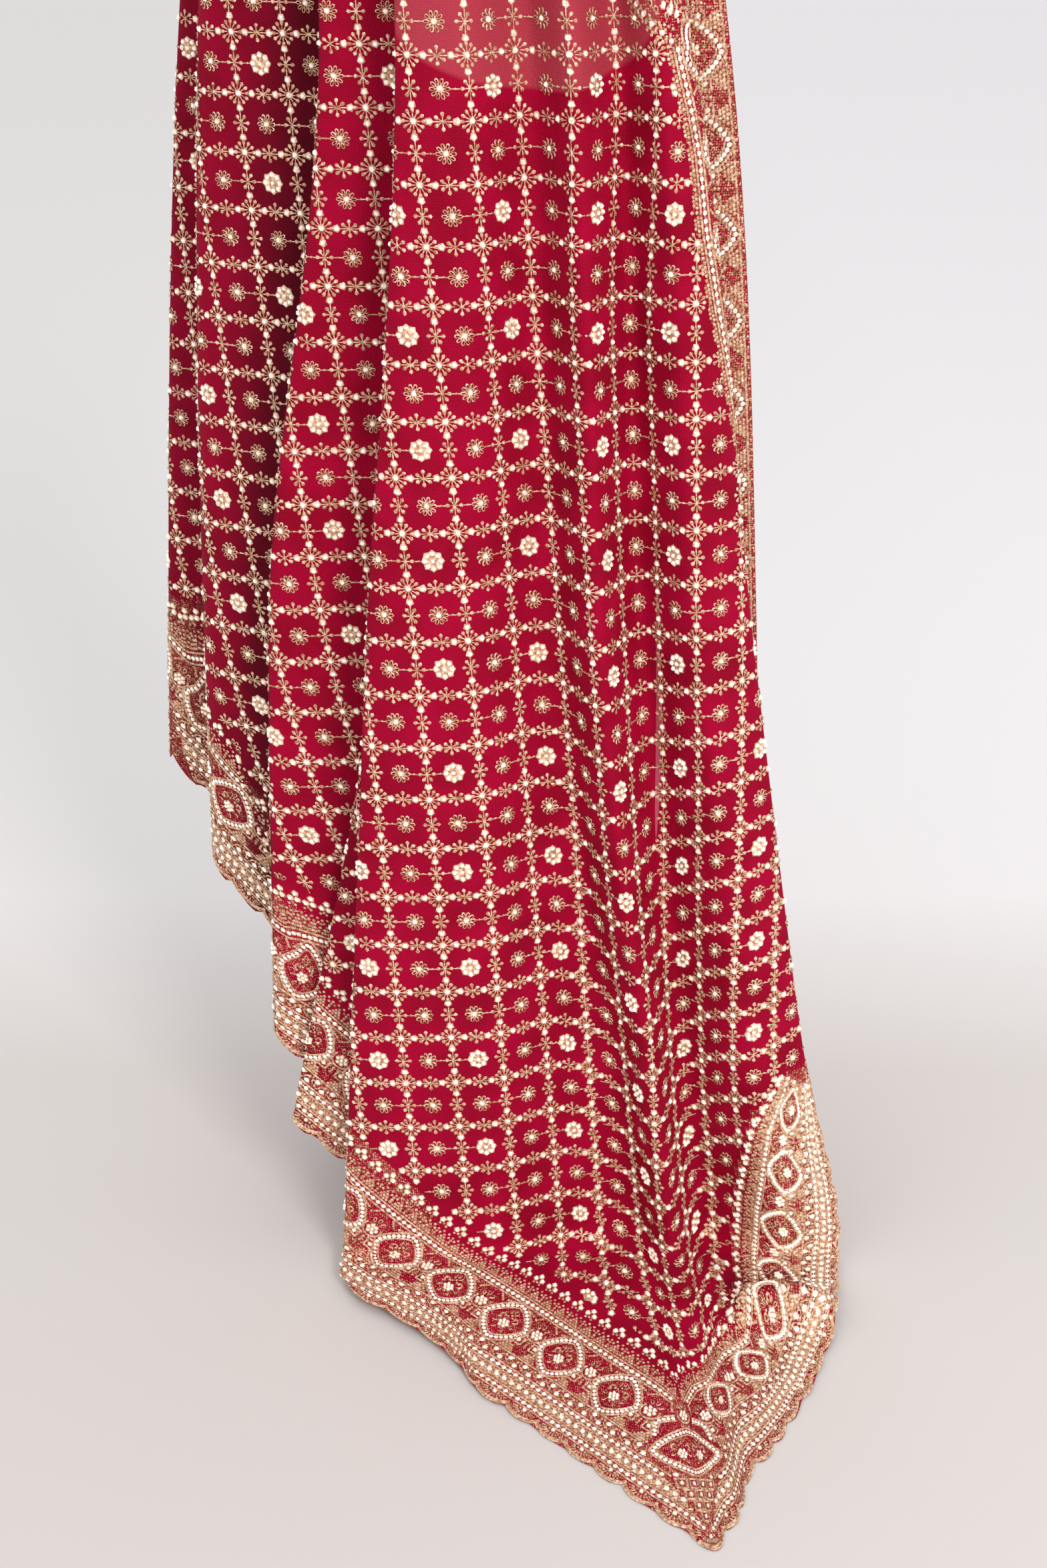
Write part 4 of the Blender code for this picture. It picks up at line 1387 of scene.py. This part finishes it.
def raised(name, kinds, stacked, place, lift, material, flat):
    """One piece made of all the small pieces of some kinds, laid on the cloth's face."""
    points = []
    faces = []
    total = 0
    for kind in kinds:
        shape, shape_faces = PIECES[kind]
        rows = stacked[kind]
        if not len(rows):
            continue
        c = np.cos(rows[:, 2])[:, None]
        s = np.sin(rows[:, 2])[:, None]
        along = shape[None, :, 0] * rows[:, 3:4]
        aside = shape[None, :, 1] * rows[:, 4:5]
        across = rows[:, :1] + c * along - s * aside
        at_down = rows[:, 1:2] + s * along + c * aside
        height = FACE + RISE[kind] * shape[None, :, 2] + lift(across, at_down)
        points.append(on_face(place, across, at_down, height).reshape(-1, 3))
        starts = total + np.arange(len(rows)) * len(shape)
        faces.append((starts[:, None, None] + shape_faces[None]).reshape(-1, 3))
        total += len(rows) * len(shape)
    return mesh_object(name, np.concatenate(points), np.concatenate(faces), material, flat)


def no_lift(across, at_down):
    """The lift of work on cloth without soft creases: none."""
    return np.zeros(np.shape(across))


def embroider(name, stacked, place, lift, materials):
    """The thread work and the stones of one stretch."""
    thread = raised(name + "_thread_work", THREAD_KINDS, stacked, place, lift, materials["thread"], False)
    stones = raised(name + "_stones", STONE_KINDS, stacked, place, lift, materials["stone"], True)
    return [thread, stones]


def pallu_rows(pallu, fold, counts):
    """Row positions down each fold line: crest to hip, to the floor's bend, round it, and on to the hem."""
    hip = np.full(fold.shape, down(HIP_HEIGHT))
    hem = pallu.hem(fold)
    bend_starts = np.minimum(down(FLOOR_BEND), hip + (hem - hip) * BEND_STARTS_BY)
    bend_ends = np.minimum(down(FLOOR_BEND) + FLOOR_BEND * math.pi / 2, hip + (hem - hip) * BEND_ENDS_BY)
    edge = pallu.scalloped_hem(fold)
    stops = (np.full(fold.shape, pallu.crest), hip, bend_starts, bend_ends, edge)
    rows = [np.linspace(stops[i], stops[i + 1], counts[i], endpoint=False) for i in range(4)]
    return np.concatenate(rows + [edge[None, :]])


def hem_lines(pallu):
    """The left hem and the right one as lines on the flat pattern, from the corner outward."""
    across = pallu.read(pallu.across, pallu.fine_folds, pallu.fine_hem)
    points = np.stack([across, pallu.fine_hem], 1)
    corner = int(np.argmax(pallu.fine_hem))
    return points[: corner + 1][::-1], points[corner:]


def distance_to(line, across, at_down):
    """How far places on the flat pattern lie from a line through points."""
    found = np.full(np.shape(across), FAR)
    for (x0, y0), (x1, y1) in zip(line[:-1:4], np.concatenate([line[4::4], line[-1:]])):
        dx = x1 - x0
        dy = y1 - y0
        share = ((across - x0) * dx + (at_down - y0) * dy) / max(dx * dx + dy * dy, 1e-12)
        share = np.clip(share, 0, 1)
        found = np.minimum(found, np.hypot(across - x0 - share * dx, at_down - y0 - share * dy))
    return found


class Borders:
    """Where the pallu's borders lie on the flat pattern."""

    def __init__(self, pallu):
        self.pallu = pallu
        self.left_line, self.right_line = hem_lines(pallu)
        tilt = math.sqrt(1 + HEM_SLOPE**2)
        self.along = np.array((-1 / tilt, -HEM_SLOPE / tilt))
        self.inward = np.array((HEM_SLOPE / tilt, -1 / tilt))
        order = np.argsort(self.left_line[:, 0])
        self.left_across = self.left_line[order, 0]
        plain = CORNER_DOWN - HEM_SLOPE * np.abs(self.left_across - CORNER_ACROSS)
        self.left_lift = plain - self.left_line[order, 1]
        self.strip = table(STRIP_COLUMNS, STRIP)
        self.front_edge = np.array(PANEL_BORDER) * MM

    def lift(self, across):
        return np.interp(across, self.left_across, self.left_lift)

    def on_left(self, along, inward):
        """The left hem's strip on the flat pattern."""
        across = CORNER_ACROSS + along * self.along[0] + inward * self.inward[0]
        at_down = CORNER_DOWN + along * self.along[1] + inward * self.inward[1]
        return across, at_down - self.lift(across)

    def on_right(self, along, inward):
        """The right hem's strip, which turns up along the pallu's right edge."""
        share = inward / BORDER_WIDTH
        at = self.strip["along"] * MM
        outer = [np.interp(along, at, self.strip[name] * MM) for name in ("outer_x", "outer_y")]
        inner = [np.interp(along, at, self.strip[name] * MM) for name in ("inner_x", "inner_y")]
        return tuple(outer[i] + share * (inner[i] - outer[i]) for i in (0, 1))

    def on_upright(self, along, inward):
        """The strip of the pallu's upright edge, turned under before its scallops."""
        return self.edge(along) + UPRIGHT_FROM - inward, along

    def on_panel(self, along, inward):
        """The same border where it turns onto the panel's right side, high up."""
        return self.panel_inner(along) + PANEL_BORDER_TO - inward, along

    def edge(self, at_down):
        return np.interp(at_down, self.pallu.downs, self.pallu.across[:, -1])

    def panel_inner(self, at_down):
        return np.interp(at_down, self.front_edge[:, 1], self.front_edge[:, 0])

    def left_inner(self, across):
        reach = BORDER_WIDTH * math.sqrt(1 + HEM_SLOPE**2)
        return CORNER_DOWN - reach + HEM_SLOPE * (across - CORNER_ACROSS) - self.lift(across)

    def right_inner(self, across):
        order = slice(1, STRIP_ROWS_IN_FRONT)
        return np.interp(across, self.strip["inner_x"][order] * MM, self.strip["inner_y"][order] * MM)

    def is_ground(self, across, at_down):
        """Whether places lie on the plain trellis, clear of each border."""
        below = np.maximum(at_down - self.left_inner(across), at_down - self.right_inner(across))
        below = np.where(across < CORNER_ACROSS, at_down - self.left_inner(across), below)
        behind = self.pallu.fold_of(across, at_down) > BEHIND_FROM_FOLD
        below = np.where(behind, FAR, below)
        return (below < -1 * MM) & (across < self.panel_inner(at_down) - 1 * MM)

    def inset(self, across, at_down):
        """How far in from an embroidered edge each place lies, and BORDER_WIDTH or more on the trellis."""
        hems = np.concatenate([self.left_line[::-1], self.right_line[1:]])
        near_hem = distance_to(hems, across, at_down)
        upright = self.edge(at_down) + UPRIGHT_FROM - across
        in_from_panel = PANEL_BORDER_TO - (across - self.panel_inner(at_down))
        panel = np.where(at_down < PANEL_BORDER_ENDS, in_from_panel, FAR)
        panel = np.where(panel < 0, INSET_PAST_PANEL, panel)
        near = np.minimum(np.minimum(near_hem, upright), panel)
        near = np.minimum(near, BORDER_WIDTH - 1 * MM)
        return np.where(self.is_ground(across, at_down), INSET_ON_TRELLIS, near)


def through(stacked, placing):
    """The work moved by a function from a border's own axes to the flat pattern."""
    made = {}
    for kind, rows in stacked.items():
        rows = rows.copy()
        step = 0.5 * MM
        ahead = placing(rows[:, 0] + step * np.cos(rows[:, 2]), rows[:, 1] + step * np.sin(rows[:, 2]))
        here = placing(rows[:, 0], rows[:, 1])
        rows[:, :2] = np.stack(here, axis=1)
        rows[:, 2] = np.arctan2(ahead[1] - here[1], ahead[0] - here[0])
        made[kind] = rows
    return made


def clear_of_corner(along, inward):
    """Outside the corner's own medallion, bud, tiles and lobe. Places are along and in from one hem."""
    tilt = math.sqrt(1 + HEM_SLOPE**2)
    x = np.abs(along - HEM_SLOPE * inward) / tilt
    up = (HEM_SLOPE * along + inward) / tilt
    medallion_zone = (x / (45 * MM)) ** 1.7 + np.abs((up - 110 * MM) / (31 * MM)) ** 1.7 < 1
    tiles_zone = (up > 30 * MM) & (up < 82 * MM) & (x < (up - 30 * MM) * 0.5 + 8 * MM)
    bud_zone = (x < 11 * MM) & (up > 134 * MM) & (up < 170 * MM)
    beyond_mitre = along < HEM_SLOPE * inward + 1.2 * MM
    lobe_zone = along < CORNER_LOBE_HALF * 1.35
    beside_medallion = (along > 56 * MM) & (along < 112 * MM) & (inward > 50 * MM) & (inward < 105 * MM)
    return ~(medallion_zone | tiles_zone | bud_zone | beyond_mitre | lobe_zone | beside_medallion)


def pallu_work(pallu, borders):
    """All the pallu's embroidery on its flat pattern, as (trellis, borders)."""
    ground = trellis((-17, 11), (-10, 30))
    for rows in ground.values():
        across, at_down = pull_of_the_hang(rows[:, 0], rows[:, 1])
        rows[:, 0] += across
        rows[:, 1] += at_down
        grown = np.clip(rows[:, 1:2] / TRELLIS_GROWS_OVER, 0, 1)
        rows[:, 3:] *= TRELLIS_SIZE_AT_TOP + TRELLIS_SIZE_GROWS * grown
    ground = kept(ground, borders.is_ground)
    left = kept(border_run(18), clear_of_corner)
    right = kept(border_run(15), clear_of_corner)
    left = through(left, borders.on_left)
    right = through(right, borders.on_right)

    def not_ground(across, at_down):
        return ~borders.is_ground(across, at_down)

    def below_edge(across, at_down):
        off_hem = distance_to(borders.right_line, across, at_down)
        return not_ground(across, at_down) & (off_hem < borders.edge(at_down) - across + 4 * MM)

    def along_edge(across, at_down):
        off_hem = distance_to(borders.right_line, across, at_down)
        behind = pallu.fold_of(across, at_down) > PANEL_TO_FOLD
        in_from_edge = borders.edge(at_down) - across
        return behind & (off_hem > in_from_edge) & (in_from_edge < BORDER_WIDTH) & (in_from_edge > 1 * MM)

    def on_panel(across, at_down):
        in_front = (pallu.fold_of(across, at_down) < PANEL_TO_FOLD) & (at_down < PANEL_BORDER_ENDS)
        return in_front & (across > borders.panel_inner(at_down) - 1 * MM)

    upright = kept(through(border_run(16, -500 * MM), borders.on_upright), along_edge)
    panel = kept(through(border_run(13, -500 * MM), borders.on_panel), on_panel)
    corner = mapped(corner_work().stacked(), (CORNER_ACROSS, CORNER_DOWN), (1.0, 0.0), (0.0, -1.0))
    return ground, together(kept(left, not_ground), kept(right, below_edge), upright, panel, corner)


def make_pallu(pallu, materials):
    borders = Borders(pallu)
    ground, border = pallu_work(pallu, borders)
    stretches = (
        ("pallu_left", 0.0, END_OF_LEFT, PALLU_ROWS),
        ("pallu_front", END_OF_LEFT, END_OF_FRONT, PALLU_ROWS),
        ("pallu_right", END_OF_FRONT, float(LAST_FOLD), PALLU_EDGE_ROWS),
    )
    for name, first, end, counts in stretches:
        fold = np.linspace(first, end, int(round((end - first) * NET_POINTS_A_FOLD)) + 1)
        at_rim = RIM_FOLDS[(RIM_FOLDS > first) & (RIM_FOLDS < end)]
        fold = np.unique(np.concatenate([fold, at_rim]))
        at = pallu_rows(pallu, fold, counts)
        folds = np.broadcast_to(fold, at.shape)
        across = pallu.read(pallu.across, folds, at)
        points = pallu.place(folds, at)
        points = points + face_normals(points) * pallu.crease(across, at)[..., None]
        points[0, :, 1] -= CREST_GAP / 2
        inset = borders.inset(across, at)
        # Painted shade in the deep left folds and in the ruck's crease
        shade = pallu.shade(folds, across, at)
        cloth = cloth_sheet(name + "_cloth", points, across, at, inset, materials["cloth"], shade=shade)
        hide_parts(name)

        def in_stretch(x, y):
            at_fold = pallu.fold_of(x, y)
            hem = np.interp(at_fold, pallu.fine_folds, pallu.fine_hem)
            inside = (at_fold >= first) & (at_fold < end) & (at_fold > 0.02) & (at_fold < LAST_FOLD - 0.01)
            beside_hem = (at_fold < 15) & (distance_to(borders.right_line, x, y) < 5 * MM)
            on_cloth = (y < hem + 7 * MM) | beside_hem
            return inside & on_cloth & (y > pallu.crest + 6 * MM)

        laid = (pallu.on_pattern, pallu.crease, materials)
        pieces = embroider(name + "_border", kept(border, in_stretch), *laid)
        if name != "pallu_right":
            pieces += embroider(name, kept(ground, in_stretch), *laid)


def face_normals(points):
    """Outward normals of a grid of points."""
    downward = np.gradient(points, axis=0)
    sideways = np.gradient(points, axis=1)
    normal = np.cross(downward, sideways)
    return normal / np.maximum(np.linalg.norm(normal, axis=-1, keepdims=True), 1e-12)


def make_skirt(materials):
    across = np.linspace(-0.5, 0.5, SKIRT_AROUND, endpoint=False) * SKIRT_GIRTH
    angle = 2 * math.pi * across / SKIRT_GIRTH
    share = np.linspace(0, 1, SKIRT_ROWS)[:, None]
    height = skirt_top(angle) + share * (SKIRT_HEM_HEIGHT - skirt_top(angle))
    at = GRAIN_ZERO_HEIGHT - height
    acrosses = np.broadcast_to(across, at.shape)
    points = skirt_place(acrosses, at)
    inset = down(SKIRT_HEM_HEIGHT) - at
    cloth = cloth_sheet("skirt_wrap_cloth", points, acrosses, at, inset, materials["cloth"], around=True)
    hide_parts("skirt_wrap")
    hem = down(SKIRT_HEM_HEIGHT)
    half = SKIRT_COLUMNS_ROUND // 2

    def on_ground(x, y):
        top = GRAIN_ZERO_HEIGHT - skirt_top(2 * math.pi * x / SKIRT_GIRTH)
        return (y > top + 6 * MM) & (y < hem - BORDER_WIDTH) & (np.abs(x) <= SKIRT_GIRTH / 2)

    ground = kept(trellis((-half, half), (-1, 24), rich=False), on_ground)
    units = round(SKIRT_GIRTH / BORDER_UNIT)
    stretch = SKIRT_GIRTH / (units * BORDER_UNIT)

    def on_hem(along, inward):
        return along * stretch - SKIRT_GIRTH / 2, hem - SCALLOP_OUT - inward

    hem_work = through(border_run(units), on_hem)
    pieces = embroider("skirt_wrap", ground, skirt_place, no_lift, materials)
    pieces += embroider("skirt_wrap_border", hem_work, skirt_place, no_lift, materials)


def make_front_pleats(materials):
    across = np.linspace(-0.5, 0.5, PLEATS * PLEAT_POINTS + 1) * PLEATS_ARC
    rows = np.linspace(down(PLEATS_TOP_HEIGHT), down(PLEATS_HEM_HEIGHT), PLEAT_ROWS)
    at = rows[:, None] + 0 * across
    acrosses = np.broadcast_to(across, at.shape)
    points = pleats_place(acrosses, at)
    hem = down(PLEATS_HEM_HEIGHT)
    cloth = cloth_sheet("front_pleats_cloth", points, acrosses, at, hem - at, materials["cloth"])
    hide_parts("front_pleats")

    def on_ground(x, y):
        inside = np.abs(x) < PLEATS_ARC / 2 - 3 * MM
        return inside & (y > down(PLEATS_TOP_HEIGHT) + 8 * MM) & (y < hem - BORDER_WIDTH)

    def on_hem(x, y):
        return np.abs(x) < PLEATS_ARC / 2 - 3 * MM

    ground = kept(trellis((-3, 3), (0, 23), rich=False), on_ground)
    origin = (-2 * BORDER_UNIT, hem - SCALLOP_OUT)
    hem_work = kept(mapped(border_run(4), origin, (1.0, 0.0), (0.0, -1.0)), on_hem)
    pieces = embroider("front_pleats", together(ground, hem_work), pleats_place, no_lift, materials)


def make_back(pallu, materials):
    net = back_net(pallu)[:, ::-1]
    rows, columns = net.shape[:2]

    def place(across, at_down):
        return between(net, at_down / BACK_LENGTH * (rows - 1), across / BACK_ARC * (columns - 1))

    across = np.broadcast_to(np.linspace(0, BACK_ARC, columns), (rows, columns))
    at = np.broadcast_to(np.linspace(0, BACK_LENGTH, rows)[:, None], (rows, columns))
    cloth = cloth_sheet("pallu_back_cloth", net, across, at, BACK_ARC - across, materials["cloth"])
    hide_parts("pallu_back")

    def on_ground(x, y):
        return (x > 4 * MM) & (x < BACK_ARC - BORDER_WIDTH) & (y > 6 * MM) & (y < BACK_LENGTH - 6 * MM)

    def on_border(x, y):
        return (y > 6 * MM) & (y < BACK_LENGTH - 6 * MM) & (x < BACK_ARC - 1 * MM)

    ground = kept(trellis((0, 7), (0, 13), rich=False), on_ground)
    edge = kept(mapped(border_run(9), (BACK_ARC - SCALLOP_OUT, 0.0), (0.0, 1.0), (-1.0, 0.0)), on_border)
    pieces = embroider("pallu_back", together(ground, edge), place, no_lift, materials)


def studio_floor():
    """Studio floor, warm near the cloth and a cooler, lighter sweep behind it: partly its paint, partly
    painted light.
    """
    material, shader = new_material("matt_painted_sweep")
    place = add_node(material, "ShaderNodeTexCoord", {}, {}).outputs["Object"]
    parts = add_node(material, "ShaderNodeSeparateXYZ", {}, {"Vector": place}).outputs
    half = BACKDROP_BLEND / 2
    rising = {"Value": parts["Y"], "From Min": BACKDROP_FROM_Y - half, "From Max": BACKDROP_FROM_Y + half}
    share = add_node(material, "ShaderNodeMapRange", {}, rising).outputs["Result"]
    # Painted light from the right: the floor is painted darker at the left and lighter at the right
    sideways = {"Value": parts["X"], "From Min": -FLOOR_SIDE_LIGHT_REACH, "From Max": FLOOR_SIDE_LIGHT_REACH}
    aside = add_node(material, "ShaderNodeMapRange", {}, sideways).outputs["Result"]
    tones = []
    for left, right in (("#D7D3D0", "#DBD7D4"), ("#E8E6E5", "#F1F0F1")):
        painted_side_light_pair = {"Factor": aside, MIX_FIRST: linear(left), MIX_SECOND: linear(right)}
        tones.append(add_node(material, "ShaderNodeMix", OF_COLOURS, painted_side_light_pair).outputs[MIXED])
    near_to_far = {"Factor": share, MIX_FIRST: tones[0], MIX_SECOND: tones[1]}
    colour = add_node(material, "ShaderNodeMix", OF_COLOURS, near_to_far).outputs[MIXED]
    fill(material, shader, {"Base Color": colour, "Roughness": 0.85, "Specular IOR Level": 0.2})
    mesh = bpy.data.meshes.new("studio_floor")
    size = FLOOR_HALF_SIZE
    corners = [(-size, -size, 0), (size, -size, 0), (size, size, 0), (-size, size, 0)]
    mesh.from_pydata(corners, [], [(0, 1, 2, 3)])
    mesh.materials.append(material)
    floor = bpy.data.objects.new("studio_floor", mesh)
    floor.location = (0, 0, -WAIST_HEIGHT)
    bpy.context.scene.collection.objects.link(floor)


def soft_box(name, place, aim, size, power, colour):
    light = bpy.data.lights.new(name, "AREA")
    light.shape = "SQUARE"
    light.size = size
    light.energy = power
    light.color = linear(colour)[:3]
    lamp = bpy.data.objects.new(name, light)
    lamp.location = place
    toward = np.array(aim) - np.array(place)
    flat = math.hypot(toward[0], toward[1])
    lamp.rotation_euler = (math.atan2(flat, -toward[2]), 0, math.atan2(-toward[0], toward[1]))
    bpy.context.scene.collection.objects.link(lamp)


def light_and_camera():
    world = bpy.data.worlds.new("studio")
    world.use_nodes = True
    world.node_tree.nodes["Background"].inputs["Color"].default_value = linear("#F6F5F6")
    world.node_tree.nodes["Background"].inputs["Strength"].default_value = 0.97
    bpy.context.scene.world = world
    soft_box("key", (2.0, -4.7, 2.3), (0, 0, -0.4), 1.6, 148, "#FFFAF6")
    soft_box("fill", (-1.9, -2.2, 0.9), (0, 0, -0.3), 1.6, 3, "#F6F8FF")
    camera = bpy.data.cameras.new("camera")
    camera.lens = CAMERA_LENS
    camera.sensor_width = FILM_LONG_SIDE
    holder = bpy.data.objects.new("camera", camera)
    holder.location = CAMERA_PLACE
    holder.rotation_euler = (math.radians(90 - CAMERA_PITCH_DOWN), 0, 0)
    bpy.context.scene.collection.objects.link(holder)
    bpy.context.scene.camera = holder
    bpy.context.scene.view_settings.view_transform = "Standard"


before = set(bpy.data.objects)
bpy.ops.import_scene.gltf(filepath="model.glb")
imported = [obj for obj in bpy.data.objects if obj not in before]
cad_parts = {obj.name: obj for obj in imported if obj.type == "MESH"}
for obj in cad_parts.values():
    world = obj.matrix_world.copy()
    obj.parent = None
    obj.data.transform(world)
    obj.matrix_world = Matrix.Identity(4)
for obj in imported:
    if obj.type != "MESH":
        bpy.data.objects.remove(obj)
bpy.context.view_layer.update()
surfaces = {"cloth": woven_georgette(), "thread": zari_thread(), "stone": foiled_crystal()}
drape = Pallu()
make_pallu(drape, surfaces)
make_skirt(surfaces)
make_front_pleats(surfaces)
make_back(drape, surfaces)
studio_floor()
light_and_camera()
